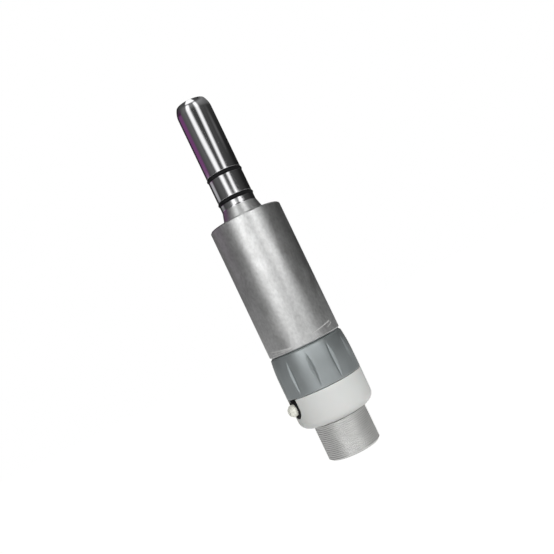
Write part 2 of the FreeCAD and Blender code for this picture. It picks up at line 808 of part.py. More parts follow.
def valve_body():
    """The core under the direction ring: a socket for the connector, ports and seal grooves."""
    floor = f"({valve_radius} - seal_height)"
    case_floor = f"({case_bore} - seal_height - seat_gap)"
    case_middle = f"({valve_front_z} - case_seal_from_front)"
    front_middle = f"({case_rear_z} - ring_seal_front)"
    rear_middle = f"({cover_front_z} + ring_seal_rear)"
    recess = f"({valve_front_z} - washer_recess)"
    outline = [
        ("0", valve_floor_z),
        (valve_socket_radius, valve_floor_z),
        (valve_socket_radius, cover_front_z),
        (valve_radius, cover_front_z),
        *reversed(seal_groove(rear_middle, valve_radius, floor)),
        *reversed(seal_groove(front_middle, valve_radius, floor)),
        (valve_radius, case_rear_z),
        (inside_case, case_rear_z),
        *reversed(seal_groove(case_middle, inside_case, case_floor)),
        (inside_case, valve_front_z),
        ("bearing_radius + press_gap", valve_front_z),
        ("bearing_radius + press_gap", recess),
        ("0", recess),
    ]
    body = turned("valve_body", outline)
    slot_half = "(valve_pin_radius + disc_gap)"
    low = f"{disc_middle_z} - {slot_half}"
    high = f"{disc_middle_z} + {slot_half}"
    slot = rectangle(f"{valve_socket_radius} - cut_overrun", f"{valve_radius} + cut_overrun", low, high)
    cut = groove(body, "pin_slot", slot, "0", "2 * (ring_turn + turn_margin)")
    around_axis(body, cut, "2")
    kidney_floor = f"{valve_front_z} - kidney_depth"
    kidney = rectangle("kidney_inner", "kidney_outer", kidney_floor, f"{valve_front_z} + cut_overrun")
    depth = f"{valve_front_z} - kidney_depth / 2 - {valve_floor_z}"
    for name, middle, hole in (
        ("forward", "-(port_angle + chamber_port_angle) / 2", "-port_angle"),
        ("reverse", "180 + (port_angle + chamber_port_angle) / 2", "180 + port_angle"),
        ("exhaust", "90", "90"),
    ):
        groove(body, f"{name}_kidney", kidney, middle, "kidney_sweep")
        across = f"port_circle * cos({hole})"
        up = f"port_circle * sin({hole})"
        drill(body, f"{name}_port", across, up, "port_radius", valve_floor_z, depth)
    hole = sketch_on(body, "detent_hole_circle", "XZ_Plane", offset=valve_radius)
    draw_circle(hole, "0", detent_z, "detent_ball_radius + detent_fit")
    pocket(body, hole, "detent_hole", f"{valve_radius} - {detent_hole_floor}")
    keep(body)
    seal_ring("case_o_ring", f"{case_floor} + seal_clearance", f"{case_bore} - seal_clearance", case_middle)
    inner = f"{floor} + seal_clearance"
    outer = f"{ring_bore} - seal_clearance"
    seal_ring("ring_o_ring_front", inner, outer, front_middle)
    seal_ring("ring_o_ring_rear", inner, outer, rear_middle)


def detent():
    """The ball that clicks into the ring, and the spring behind it, on the -Y side."""
    ball = doc.addObject("Part::Sphere", "detent_ball")
    ball.setExpression("Radius", in_sheet("detent_ball_radius"))
    keep(move(ball, "0", f"-{detent_ball_place}", detent_z))
    length = f"({detent_ball_place} - detent_ball_radius - {detent_hole_floor} - detent_wire)"
    spring = coil_spring("detent_spring", "detent_spring_radius", "detent_wire", length, "detent_turns")
    spring.Placement = Placement(Vector(), Rotation(Vector(1, 0, 0), 90))
    move(spring, "0", f"-({detent_hole_floor} + detent_wire)", detent_z)


def valve_disc():
    """The disc that the ring turns, with a pressure slot, an exhaust window and two pin holes."""
    body = turned("valve_disc", rectangle("0", disc_radius, disc_rear_z, disc_front_z))
    slot = sketch_on(body, "pressure_slot_outline", "XY_Plane", offset=disc_rear_z)
    half = "port_radius"
    outer = "(port_circle + port_radius)"
    inner = "(drive_tube_place - drive_tube_bore)"
    draw_outline(slot, rectangle(f"-{half}", half, f"-{outer}", f"-{inner}"))
    pocket(body, slot, "pressure_slot", "disc_thickness", along_normal=True)
    low = f"{disc_rear_z} - cut_overrun"
    window = rectangle("exhaust_place", outer, low, f"{disc_front_z} + cut_overrun")
    groove(body, "exhaust_window", window, "90", "2 * ring_turn + kidney_sweep")
    hole = sketch_on(body, "disc_pin_circle", "YZ_Plane", offset="valve_pin_inner")
    draw_circle(hole, "0", disc_middle_z, "valve_pin_radius + press_gap")
    cut = pocket(body, hole, "disc_pin_hole", disc_radius, along_normal=True)
    around_axis(body, cut, "2")
    return keep(body)


def valve_pins():
    """Two radial pins that carry the ring's turn through the slots to the disc."""
    pins = []
    for side, turn in (("right", 90), ("left", -90)):
        pin = doc.addObject("Part::Cylinder", f"valve_pin_{side}")
        pin.setExpression("Radius", in_sheet("valve_pin_radius"))
        pin.setExpression("Height", in_sheet(f"{valve_pin_outer} - valve_pin_inner"))
        pin.Placement = Placement(Vector(), Rotation(Vector(0, 1, 0), turn))
        sign = "" if turn > 0 else "-"
        pins.append(move(pin, f"{sign}valve_pin_inner", "0", disc_middle_z))
    return group("valve_pins", pins)


def control_ring():
    """The direction ring, tapered in front to the case's width, with leaf-shaped flutes ground by a disc."""
    outline = [
        (ring_bore, ring_rear_z),
        (f"{ring_radius} - ring_edge", ring_rear_z),
        (ring_radius, f"{ring_rear_z} + ring_edge"),
        (ring_radius, f"{ring_front_z} - ring_taper_length"),
        (ring_front_radius, f"{ring_front_z} - ring_front_edge"),
        (f"{ring_front_radius} - ring_front_edge", ring_front_z),
        (ring_bore, ring_front_z),
    ]
    body = turned("control_ring", outline)
    detent_track(body)
    hole = sketch_on(body, "ring_pin_circle", "YZ_Plane")
    draw_circle(hole, "0", disc_middle_z, "valve_pin_radius + press_gap")
    cut = pocket(body, hole, "ring_pin_hole", valve_pin_outer, along_normal=True)
    around_axis(body, cut, "2")
    flutes(body)
    return keep(body)


def detent_track(body):
    """The track in the ring's bore that stops the turn at both ends, and its three dimples."""
    wide = "(detent_ball_radius + detent_fit)"
    floor = f"({ring_bore} + detent_track_depth)"
    inner = f"{ring_bore} - cut_overrun"
    track = rectangle(inner, floor, f"{detent_z} - {wide}", f"{detent_z} + {wide}")
    groove(body, "detent_track", track, "-90", "2 * (ring_turn + turn_margin)")
    for name, angle in (("stop", "-90"), ("forward", "-90 + ring_turn"), ("reverse", "-90 - ring_turn")):
        sketch = sketch_on(body, f"{name}_dimple_circle", "XZ_Plane", offset=floor, angle=f"{angle} + 90")
        draw_circle(sketch, "0", detent_z, "detent_dimple_radius")
        pocket(body, sketch, f"{name}_dimple", "detent_dimple_depth", along_normal=True)


def flutes(body):
    """Leaf-shaped grooves, each the bite of a V-edged disc that stands in line with the axis."""
    disc = "((flute_length / 2)^2 + flute_depth^2) / (2 * flute_depth)"
    floor = f"({ring_radius} - flute_depth)"
    rim = f"({ring_radius} + flute_depth)"
    axis = f"({floor} + {disc})"
    middle = f"{ring_rear_z} + flute_centre"
    sketch = sketch_on(body, "flute_outline", "XY_Plane", offset=middle, angle="flute_phase")
    draw_outline(sketch, [(floor, "0"), (rim, "flute_width"), (rim, "-flute_width")])
    reach = size("flute_width")
    line = Part.LineSegment(Vector(size(axis), -reach, 0), Vector(size(axis), reach, 0))
    edge = sketch.addGeometry(line, True)
    hold_point(sketch, edge, 1, axis, "-flute_width")
    hold_point(sketch, edge, 2, axis, "flute_width")
    feature = add_feature(body, "PartDesign::Groove", "flute", sketch)
    feature.ReferenceAxis = (sketch, ["Axis0"])
    feature.Angle = 360
    finish_cut(body, feature)
    around_axis(body, feature, "flute_count")


def rear_cover_ring():
    """The white ring: a rounded rear shoulder, a lip round the thread and a side notch."""
    outline = [
        (lip_bore, cover_rear_z),
        (f"{cover_rear_radius} - cover_corner", cover_rear_z),
        (cover_rear_radius, f"{cover_rear_z} + cover_corner", "-cover_corner"),
        (cover_front_radius, f"{cover_front_z} - cover_edge"),
        (f"{cover_front_radius} - cover_edge", cover_front_z),
        (cover_bore, cover_front_z),
        (cover_bore, cover_shoulder_z),
        (lip_bore, cover_shoulder_z),
    ]
    body = turned("rear_cover_ring", outline)
    notch = sketch_on(body, "notch_outline", "YZ_Plane")
    draw_notch(notch)
    pocket(body, notch, "side_notch", f"2 * {cover_front_radius}")
    screw_hole(body, "cover_screw_hole")
    return keep(body)


def draw_notch(sketch):
    """A slot with a round end that opens at the front edge."""
    outline = [
        ("notch_radius", f"{cover_front_z} + cut_overrun"),
        ("-notch_radius", f"{cover_front_z} + cut_overrun"),
        ("-notch_radius", nipple_z),
        ("0", f"{nipple_z} - notch_radius", "-notch_radius"),
        ("notch_radius", nipple_z, "-notch_radius"),
    ]
    draw_outline(sketch, outline)


def screw_hole(body, name):
    """The radial hole for the set screw in the rear shoulder."""
    offset = f"-{screw_inner}"
    sketch = sketch_on(body, f"{name}_circle", "XZ_Plane", offset=offset, angle="screw_angle - 90")
    draw_circle(sketch, "0", screw_z, "screw_radius + cover_gap")
    pocket(body, sketch, name, cover_front_radius)


def cover_set_screw():
    """The set screw, sunk below the ring's surface, with a round socket."""
    length = f"({screw_outer} - {screw_inner})"
    outline = [
        ("0", "0"),
        ("screw_radius", "0"),
        ("screw_radius", length),
        ("screw_socket_radius", length),
        ("screw_socket_radius", f"{length} - screw_socket_depth"),
        ("0", f"{length} - screw_socket_depth"),
    ]
    body = turned("cover_set_screw", outline)
    turn = Rotation(Vector(0, 0, 1), size("screw_angle")) * Rotation(Vector(0, 1, 0), 90)
    body.Placement = Placement(Vector(), turn)
    across = f"{screw_inner} * cos(screw_angle)"
    along = f"{screw_inner} * sin(screw_angle)"
    return keep(move(body, across, along, screw_z))


def hose_connector():
    """The threaded rear end, its recess, its four passages and the spigot into the valve body."""
    floor = f"({spigot_radius} - seal_height)"
    seal_middle = f"({spigot_front_z} - spigot_seal)"
    outline = [
        ("0", "recess_depth"),
        ("recess_radius", "recess_depth"),
        ("recess_radius", "0"),
        ("thread_radius - thread_chamfer", "0"),
        ("thread_radius", "thread_chamfer"),
        ("thread_radius", f"{cover_rear_z} - run_out_length"),
        ("run_out_radius", f"{cover_rear_z} - run_out_length"),
        ("run_out_radius", cover_shoulder_z),
        (valve_radius, cover_shoulder_z),
        (valve_radius, cover_front_z),
        (spigot_radius, cover_front_z),
        *reversed(seal_groove(seal_middle, spigot_radius, floor)),
        (spigot_radius, spigot_front_z),
        ("0", spigot_front_z),
    ]
    body = turned("hose_connector", outline)
    through = f"{spigot_front_z} - recess_depth"
    floor_z = "recess_depth"
    drill(body, "drive_passage", "0", "-drive_tube_place", "drive_tube_bore", floor_z, through)
    drill(body, "exhaust_passage", "0", "exhaust_place", "exhaust_radius", floor_z, through)
    blind = f"{nipple_z} - recess_depth"
    for name, sign in (("water", "-"), ("chip_air", "")):
        place = f"{sign}small_tube_place"
        seat_radius = "small_tube_radius - tube_step + tube_fit"
        drill(body, f"{name}_passage", place, "0", "small_tube_bore", floor_z, blind)
        drill(body, f"{name}_seat", place, "0", seat_radius, floor_z, "tube_seat_depth")
    seat_radius = "drive_tube_radius - tube_step + tube_fit"
    drill(body, "drive_seat", "0", "-drive_tube_place", seat_radius, floor_z, "tube_seat_depth")
    side = sketch_on(body, "nipple_passage_circle", "YZ_Plane", offset="-small_tube_place")
    draw_circle(side, "0", nipple_z, "nipple_bore")
    pocket(body, side, "nipple_passage", valve_radius)
    seat = sketch_on(body, "nipple_seat_circle", "YZ_Plane", offset="-nipple_root")
    draw_circle(seat, "0", nipple_z, "nipple_root_radius + press_gap")
    pocket(body, seat, "nipple_seat", valve_radius)
    screw_hole(body, "connector_screw_hole")
    keep(body)
    outer = f"{valve_socket_radius} - seal_clearance"
    seal_ring("spigot_o_ring", f"{floor} + seal_clearance", outer, seal_middle)


def end_tube(label, across, along, outer, inner):
    """A tube with its thinner root pressed into its seat, ending just inside the rear recess."""
    root = f"{outer} - tube_step"
    outline = [
        (inner, "tube_setback"),
        (outer, "tube_setback"),
        (outer, "recess_depth"),
        (root, "recess_depth"),
        (root, "recess_depth + tube_seat_depth"),
        (inner, "recess_depth + tube_seat_depth"),
    ]
    body = turned(label, outline)
    return keep(move(body, across, along, "0"))


def water_nipple():
    """The side nipple, tapered at its end, pressed into the connector and pointing along -X."""
    shoulder = f"({nipple_seal_face} + nipple_neck_length)"
    outline = [
        ("nipple_bore", "nipple_root"),
        ("nipple_root_radius", "nipple_root"),
        ("nipple_root_radius", valve_radius),
        ("nipple_stem_radius", valve_radius),
        ("nipple_stem_radius", shoulder),
        ("nipple_radius", shoulder),
        ("nipple_radius", f"{nipple_tip} - nipple_taper_length"),
        ("nipple_tip_radius", nipple_tip),
        ("nipple_bore", nipple_tip),
    ]
    body = turned("water_nipple", outline)
    body.Placement = Placement(Vector(), Rotation(Vector(0, 1, 0), -90))
    return keep(move(body, "0", "0", nipple_z))


def nipple_seal():
    """The rubber washer round the nipple, which fills the notch."""
    outline = rectangle("nipple_seal_inner", "nipple_seal_outer", valve_radius, nipple_seal_face)
    body = turned("nipple_seal", outline)
    body.Placement = Placement(Vector(), Rotation(Vector(0, 1, 0), -90))
    return keep(move(body, "0", "0", nipple_z))


def build():
    """Makes every piece."""
    fill_sheet()
    nose_sleeve()
    nose_o_ring("nose_o_ring_front", "nose_seal_front_z")
    nose_o_ring("nose_o_ring_rear", "nose_seal_rear_z")
    motor_case()
    front_end_plate()
    rear_end_plate()
    cylinder_liner()
    alignment_pins()
    rotor()
    vanes()
    bearing("front", front_bearing_z)
    bearing("rear", rear_bearing_z)
    preload_washer()
    drive_dog()
    dog_pin()
    dog_spring()
    valve_body()
    detent()
    valve_disc()
    valve_pins()
    control_ring()
    rear_cover_ring()
    cover_set_screw()
    hose_connector()
    end_tube("drive_air_tube", "0", "-drive_tube_place", "drive_tube_radius", "drive_tube_bore")
    end_tube("water_tube", "-small_tube_place", "0", "small_tube_radius", "small_tube_bore")
    end_tube("chip_air_tube", "small_tube_place", "0", "small_tube_radius", "small_tube_bore")
    water_nipple()
    nipple_seal()
    doc.recompute()


def check():
    """Stops the build where an object failed or a piece isn't sound."""
    for item in doc.Objects:
        if "Invalid" in item.State or "Error" in item.State:
            raise RuntimeError(f"{item.Name} failed: {item.State}")
    for piece in nodes:
        if piece.Shape.isNull() or not piece.Shape.isValid() or not piece.Shape.Solids:
            raise RuntimeError(f"{piece.Label} has no sound shape")


def export():
    """Writes each piece to a file with its own name."""
    os.makedirs("parts", exist_ok=True)
    for piece in nodes:
        piece.Shape.exportStep(f"parts/{piece.Label}.step")


build()
check()
export()
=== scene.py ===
import json
import math

import bmesh
import bpy
import numpy as np
from mathutils import Matrix, Quaternion, Vector

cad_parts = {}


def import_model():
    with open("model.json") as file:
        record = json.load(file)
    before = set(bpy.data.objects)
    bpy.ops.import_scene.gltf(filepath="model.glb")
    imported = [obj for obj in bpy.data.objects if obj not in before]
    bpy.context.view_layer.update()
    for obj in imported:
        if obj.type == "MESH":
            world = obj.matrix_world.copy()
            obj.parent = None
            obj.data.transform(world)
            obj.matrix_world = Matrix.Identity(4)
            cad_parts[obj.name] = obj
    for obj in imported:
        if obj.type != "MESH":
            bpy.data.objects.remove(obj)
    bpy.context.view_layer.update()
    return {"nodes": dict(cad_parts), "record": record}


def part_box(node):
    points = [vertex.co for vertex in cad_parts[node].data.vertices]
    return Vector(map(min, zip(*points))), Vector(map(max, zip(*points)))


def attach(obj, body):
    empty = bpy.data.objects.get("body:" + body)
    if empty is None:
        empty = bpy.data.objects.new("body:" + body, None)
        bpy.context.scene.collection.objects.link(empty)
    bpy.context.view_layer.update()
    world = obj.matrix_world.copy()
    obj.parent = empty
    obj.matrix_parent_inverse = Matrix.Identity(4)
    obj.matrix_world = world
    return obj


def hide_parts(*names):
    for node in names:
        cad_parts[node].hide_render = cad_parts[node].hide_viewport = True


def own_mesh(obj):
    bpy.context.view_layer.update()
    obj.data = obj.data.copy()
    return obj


# Dental air motor seen from the side of its water nipple
# Sizes are in millimetres and angles in degrees, unless a name says otherwise.

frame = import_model()

MM = 0.001
MERGE = 1e-7

# Steps round a turned piece, and the angle from which an edge is sharp
STEPS = 192
COARSE_STEPS = 96
CUTTER_STEPS = 64
PASSAGE_STEPS = 48
SHARP = 32
COIL_SHARP = 60

# How close to a long side's ends its extra points stand
SUPPORT = 0.04


def low(node):
    """A CAD node's lowest corner, in millimetres."""
    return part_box(node)[0] / MM


def high(node):
    """A CAD node's highest corner, in millimetres."""
    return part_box(node)[1] / MM


# Heights read from the CAD nodes
COVER_REAR = low("rear_cover_ring").z
COVER_FRONT = high("rear_cover_ring").z
RING_REAR = low("control_ring").z
RING_FRONT = high("control_ring").z
CASE_REAR = low("motor_case").z
CASE_FRONT = high("motor_case").z
FLANGE = low("nose_sleeve").z
TIP = high("nose_sleeve").z
CONNECTOR_FRONT = high("hose_connector").z
NIPPLE_HEIGHT = (low("water_nipple").z + high("water_nipple").z) / 2

# Radii read from the CAD nodes
CASE_RADIUS = high("motor_case").x
RING_RADIUS = high("control_ring").y
COVER_RADIUS = high("rear_cover_ring").x
NIPPLE_TIP = -low("water_nipple").x
NIPPLE_RADIUS = high("water_nipple").y

# Nose
NOSE_RADIUS = 4.84
LEAD_IN_LENGTH = 2.9
LEAD_IN_ARC = 5.6
SOCKET_RADIUS = 3.1
SOCKET_DEPTH = 11.5
NOSE_BORE = 2.9
FLARE_RADIUS = 5.8
FLARE_LENGTH = 3.5
FLARE_BLEND = 1.2
SATIN_EDGE = 0.15
FLANGE_RADIUS = 8.4
SEAL_SECTION = 0.98
SEAL_GROOVE_HALF = 0.55
SEAL_GROOVE_FLOOR = 4.04

# Case
CASE_BORE = 8.5
CASE_FRONT_WALL = 2.0
CASE_EDGE = 0.35

# Control ring
RING_BORE = 8.05
RING_TAPER = 0.5
RING_BOW_LENGTH = 6.5
RING_FRONT_EDGE = 0.4
FLUTE_COUNT = 11
FLUTE_PHASE = 14.1
FLUTE_DEPTH = 0.38
FLUTE_WIDTH = 1.4
FLUTE_LENGTH = 12.4
FLUTE_CENTRE = 6.4
FLUTE_EDGE = 0.02

# White ring
COVER_TAPER = 0.1
COVER_CORNER = 2.5
COVER_LIP = 1.9
COVER_BORE = 8.05
LIP_BORE = 7.3
NOTCH_RADIUS = 2.65
NOTCH_INNER = 4.0
NOTCH_OUTER = 14.0
NOTCH_EDGE = 0.1
SCREW_ANGLE = 166.0
SCREW_HEIGHT = 2.9
SCREW_RADIUS = 0.8
SCREW_INNER = 7.0
SCREW_OUTER = 9.3
SCREW_SOCKET = 0.4
SCREW_SOCKET_DEPTH = 0.8
SCREW_CLEARANCE = 0.05

# Connector
THREAD_RADIUS = 7.25
THREAD_PITCH = 0.5
THREAD_DEPTH = 0.08
THREAD_ROWS = 8
THREAD_STEPS = 144
THREAD_FADE = 0.25
THREAD_ROOT = 0.1
THREAD_FLANK = 0.75
THREAD_CHAMFER = 0.5
RUN_OUT_RADIUS = 6.95
RUN_OUT_LENGTH = 0.4
RECESS_RADIUS = 5.9
RECESS_DEPTH = 3.0
SHOULDER_RADIUS = 8.0
SPIGOT_RADIUS = 5.95
EXHAUST_PLACE = 2.9
EXHAUST_RADIUS = 1.7
DRIVE_PLACE = 2.6
DRIVE_RADIUS = 0.96
SMALL_PLACE = 3.9
SMALL_RADIUS = 0.61

# Where the tubes' seats end above the recess's floor, and how much narrower the passages beyond them are
TUBE_SEAT = 3.0
DRIVE_NARROWING = 0.16
SMALL_NARROWING = 0.21

# The spigot's seal groove: its ends above the white ring's front, and its depth
SPIGOT_GROOVE = (2.05, 3.05)
SPIGOT_GROOVE_DEPTH = 0.85

# Where the cutters end, past the connector along the axis and past its side
AXIAL_END = 30.0
SIDE_END = 12.0

# Nipple and its seal
NIPPLE_BORE = 0.35
NIPPLE_ROOT = 5.5
NIPPLE_ROOT_RADIUS = 1.2
NIPPLE_STEM_RADIUS = 1.35
NIPPLE_TAPER_LENGTH = 0.8
NIPPLE_TIP_RADIUS = 0.95
SEAL_FACE = 9.6
SEAL_RISE = 10.05
NIPPLE_NECK_LENGTH = 0.2
SEAL_RADIUS = 2.6
SEAL_BORE = 1.38
SEAL_BULGE = 0.46

# Drive dog's spring
SPRING_RADIUS = 2.05
SPRING_WIRE = 0.4
SPRING_TURNS = 4


def arc_points(centre, radius, start, end, count):
    """Points (across, up) on an arc between two angles."""
    angles = np.radians(np.linspace(start, end, count))
    return [(centre[0] + radius * math.cos(a), centre[1] + radius * math.sin(a)) for a in angles]


def rounded(outline, steps=4):
    """The outline's points, with an arc at each corner that names a fillet: (radius, height, fillet)."""
    result = []
    for index, point in enumerate(outline):
        if len(point) == 2:
            result.append(point)
            continue
        corner = Vector(point[:2])
        before = (Vector(outline[index - 1][:2]) - corner).normalized()
        after = (Vector(outline[(index + 1) % len(outline)][:2]) - corner).normalized()
        half = before.angle(after) / 2
        centre = corner + (before + after).normalized() * point[2] / math.sin(half)
        first = (corner + before * point[2] / math.tan(half) - centre).normalized()
        last = (corner + after * point[2] / math.tan(half) - centre).normalized()
        bend = first.angle(last)
        for step in range(steps + 1):
            share = step / steps
            along = first * math.sin((1 - share) * bend) + last * math.sin(share * bend)
            result.append(tuple(centre + along * point[2] / math.sin(bend)))
    return supported(result)


def supported(outline):
    """The outline with a point close to each end of its long sides, which keeps their shading straight."""
    result = []
    for start, end in zip(outline, [*outline[1:], outline[0]]):
        start = Vector(start)
        along = Vector(end) - start
        result.append(tuple(start))
        if along.length > 10 * SUPPORT:
            step = along.normalized() * SUPPORT
            result += [tuple(start + step), tuple(start + along - step)]
    return result


def finish_mesh(mesh, sharp=SHARP):
    """Cleans a mesh and shades it smooth between sharp edges."""
    work = bmesh.new()
    work.from_mesh(mesh)
    bmesh.ops.remove_doubles(work, verts=work.verts, dist=MERGE)
    bmesh.ops.recalc_face_normals(work, faces=work.faces)
    work.to_mesh(mesh)
    work.free()
    mesh.polygons.foreach_set("use_smooth", [True] * len(mesh.polygons))
    mesh.set_sharp_from_angle(angle=math.radians(sharp))


def new_object(name, mesh):
    """An object in the scene."""
    piece = bpy.data.objects.new(name, mesh)
    bpy.context.scene.collection.objects.link(piece)
    return piece


def round_points(radius, turn, height):
    """Points at these radii, angles and heights round Z, as one list in metres."""
    points = np.stack([radius * np.cos(turn), radius * np.sin(turn), height], axis=-1)
    return (points.reshape(-1, 3) * MM).tolist()


def quads(*corners):
    """Four-cornered faces from four arrays of point numbers."""
    return np.stack(corners, axis=-1).reshape(-1, 4).tolist()


def shaded(name, points, faces, sharp=SHARP):
    """An object with a clean mesh of these points and faces."""
    mesh = bpy.data.meshes.new(name)
    mesh.from_pydata(points, [], faces)
    finish_mesh(mesh, sharp)
    return new_object(name, mesh)


def turned(name, outline, steps=STEPS, start=0.0, shape=None, sharp=SHARP):
    """A solid turned about Z from a closed outline. shape(radius, height, angle) may change the radius."""
    outline = np.array(outline, float)
    turn = np.radians(start) + np.linspace(0, 2 * math.pi, steps, endpoint=False)[None, :]
    radius = np.repeat(outline[:, :1], steps, axis=1)
    height = np.repeat(outline[:, 1:], steps, axis=1)
    if shape:
        radius = shape(radius, height, turn)
    index = np.arange(height.size).reshape(height.shape)
    across = np.roll(index, -1, axis=1)
    up = np.roll(index, -1, axis=0)
    corner = np.roll(across, -1, axis=0)
    return shaded(name, round_points(radius, turn, height), quads(index, across, corner, up), sharp)


def place(piece, matrix):
    """Moves a piece's mesh, so that the object itself stays at the origin."""
    piece.data.transform(matrix)
    return piece


def cut(piece, cutters, bevel=0.0):
    """Takes the cutters away from the piece and rounds the new edges."""
    for cutter in cutters:
        modifier = piece.modifiers.new("cut", "BOOLEAN")
        modifier.operation = "DIFFERENCE"
        modifier.solver = "EXACT"
        modifier.object = cutter
    if bevel:
        edge = piece.modifiers.new("edge", "BEVEL")
        edge.width = bevel * MM
        edge.segments = 3
        edge.limit_method = "ANGLE"
        edge.angle_limit = math.radians(50)
    shown = piece.evaluated_get(bpy.context.evaluated_depsgraph_get())
    mesh = bpy.data.meshes.new_from_object(shown)
    piece.modifiers.clear()
    piece.data = mesh
    finish_mesh(mesh)
    for cutter in cutters:
        bpy.data.objects.remove(cutter)
    return piece


def rod(radius, start, end, across=0.0, along=0.0, steps=CUTTER_STEPS):
    """A round cutter along Z, or beside it."""
    cutter = turned("cutter", [(0, start), (radius, start), (radius, end), (0, end)], steps)
    return place(cutter, Matrix.Translation((across * MM, along * MM, 0)))


def put_on(piece, body, *nodes):
    """Rides on a body in the place of CAD nodes."""
    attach(piece, body)
    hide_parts(*nodes)
    return piece


# Materials


class Finish:
    """A Principled material built from a few procedural layers in object coordinates."""

    def __init__(self, name, colour, metallic=0.0, roughness=0.4):
        self.material = bpy.data.materials.new(name)
        self.material.use_nodes = True
        self.tree = self.material.node_tree
        self.shader = self.tree.nodes["Principled BSDF"]
        self.shader.inputs["Base Color"].default_value = (*colour, 1)
        self.shader.inputs["Metallic"].default_value = metallic
        self.shader.inputs["Roughness"].default_value = roughness
        self.colour = colour
        self.roughness = roughness
        self.place = self.tree.nodes.new("ShaderNodeTexCoord").outputs["Object"]
        self.normal = None

    def link(self, source, target):
        self.tree.links.new(source, target)

    def noise(self, scale, detail=3.0):
        """A noise value, with its own scale along each axis, per metre."""
        mapping = self.tree.nodes.new("ShaderNodeMapping")
        mapping.inputs["Scale"].default_value = scale
        self.link(self.place, mapping.inputs["Vector"])
        texture = self.tree.nodes.new("ShaderNodeTexNoise")
        texture.inputs["Scale"].default_value = 1.0
        texture.inputs["Detail"].default_value = detail
        self.link(mapping.outputs["Vector"], texture.inputs["Vector"])
        return texture.outputs["Fac"]

    def spread(self, value, start, end):
        """A noise value spread over a range."""
        node = self.tree.nodes.new("ShaderNodeMapRange")
        node.inputs["From Min"].default_value = 0.3
        node.inputs["From Max"].default_value = 0.7
        node.inputs["To Min"].default_value = start
        node.inputs["To Max"].default_value = end
        self.link(value, node.inputs["Value"])
        return node.outputs["Result"]

    def vary_colour(self, scale, amount, detail=3.0):
        """Lets the colour go a little lighter and darker."""
        mix = self.tree.nodes.new("ShaderNodeMix")
        mix.data_type = "RGBA"
        mix.inputs["A"].default_value = (*[part * (1 - amount) for part in self.colour], 1)
        mix.inputs["B"].default_value = (*[min(1, part * (1 + amount)) for part in self.colour], 1)
        self.link(self.spread(self.noise(scale, detail), 0, 1), mix.inputs["Factor"])
        self.link(mix.outputs["Result"], self.shader.inputs["Base Color"])
        return self

    def vary_roughness(self, scale, amount, detail=3.0):
        """Lets the roughness wander by an amount to each side."""
        value = self.spread(self.noise(scale, detail), self.roughness - amount, self.roughness + amount)
        self.link(value, self.shader.inputs["Roughness"])
        return self

    def relief(self, scale, height, detail=2.0):
        """Fine relief of a height in micrometres."""
        bump = self.tree.nodes.new("ShaderNodeBump")
        bump.inputs["Strength"].default_value = 1.0
        bump.inputs["Distance"].default_value = height * 1e-6
        self.link(self.noise(scale, detail), bump.inputs["Height"])
        if self.normal:
            self.link(self.normal, bump.inputs["Normal"])
        self.normal = bump.outputs["Normal"]
        self.link(self.normal, self.shader.inputs["Normal"])
        return self


def steel(name, colour, roughness, marks=0.5):
    """Turned steel, with fine marks round the axis."""
    finish = Finish(name, colour, metallic=1.0, roughness=roughness)
    finish.vary_colour((250, 250, 600), 0.05)
    finish.vary_roughness((120, 120, 2500), roughness * 0.2)
    finish.relief((60, 60, 9000), marks)
    return finish.material


def polished_spigot():
    """Polished steel, with faint wipe marks."""
    finish = Finish("polished_spigot", (0.60, 0.60, 0.61), metallic=1.0, roughness=0.09)
    finish.vary_colour((90, 90, 60), 0.06)
    finish.vary_roughness((300, 300, 90), 0.02)
    finish.relief((700, 700, 250), 1.2)
    return finish.material


def satin_case():
    """Satin steel with a fine blasted grain and soft handling marks."""
    finish = Finish("satin_case", (0.66, 0.665, 0.66), metallic=1.0, roughness=0.37)
    finish.vary_colour((1500, 1500, 1000), 0.13, detail=6.0)
    finish.vary_roughness((350, 350, 200), 0.07, detail=6.0)
    finish.relief((4000, 4000, 4000), 1.5)
    finish.relief((800, 800, 550), 9.0, detail=5.0)
    return finish.material


def anodised_ring():
    """Blue-grey anodised metal, worn a little lighter in places."""
    finish = Finish("anodised_ring", (0.375, 0.405, 0.412), metallic=0.8, roughness=0.38)
    finish.vary_colour((150, 150, 90), 0.1)
    finish.vary_roughness((400, 400, 400), 0.05)
    finish.relief((6000, 6000, 6000), 2.0)
    return finish.material


def cover_plastic():
    """Off-white moulded plastic with a faint orange-peel surface."""
    finish = Finish("cover_plastic", (0.72, 0.725, 0.712), roughness=0.42)
    finish.vary_colour((80, 80, 80), 0.02)
    finish.vary_roughness((500, 500, 500), 0.06)
    finish.relief((2500, 2500, 2500), 4.0)
    finish.shader.inputs["Subsurface Weight"].default_value = 0.05
    finish.shader.inputs["Subsurface Scale"].default_value = 0.0005
    return finish.material


def rubber():
    """Black rubber with a matt, slightly uneven skin."""
    finish = Finish("rubber", (0.010, 0.010, 0.011), roughness=0.6)
    finish.shader.inputs["Specular IOR Level"].default_value = 0.12
    finish.vary_colour((400, 400, 400), 0.3)
    finish.vary_roughness((900, 900, 900), 0.1)
    finish.relief((4000, 4000, 4000), 5.0)
    return finish.material


def nipple_metal():
    """Plated metal with a warm cream tint, partly its own colour and partly a painted reflection of the
    off-white ring beside it.
    """
    finish = Finish("nipple_metal", (0.90, 0.895, 0.81), metallic=0.2, roughness=0.32)
    finish.vary_colour((300, 300, 300), 0.03)
    finish.vary_roughness((2000, 200, 200), 0.04)
    finish.relief((3000, 100, 100), 0.2)
    return finish.material


def resin(name, colour, roughness):
    """Pressed resin with a speckled body."""
    finish = Finish(name, colour, roughness=roughness)
    finish.vary_colour((2500, 2500, 2500), 0.18)
    finish.vary_roughness((900, 900, 900), 0.08)
    finish.relief((5000, 5000, 5000), 3.0)
    return finish.material


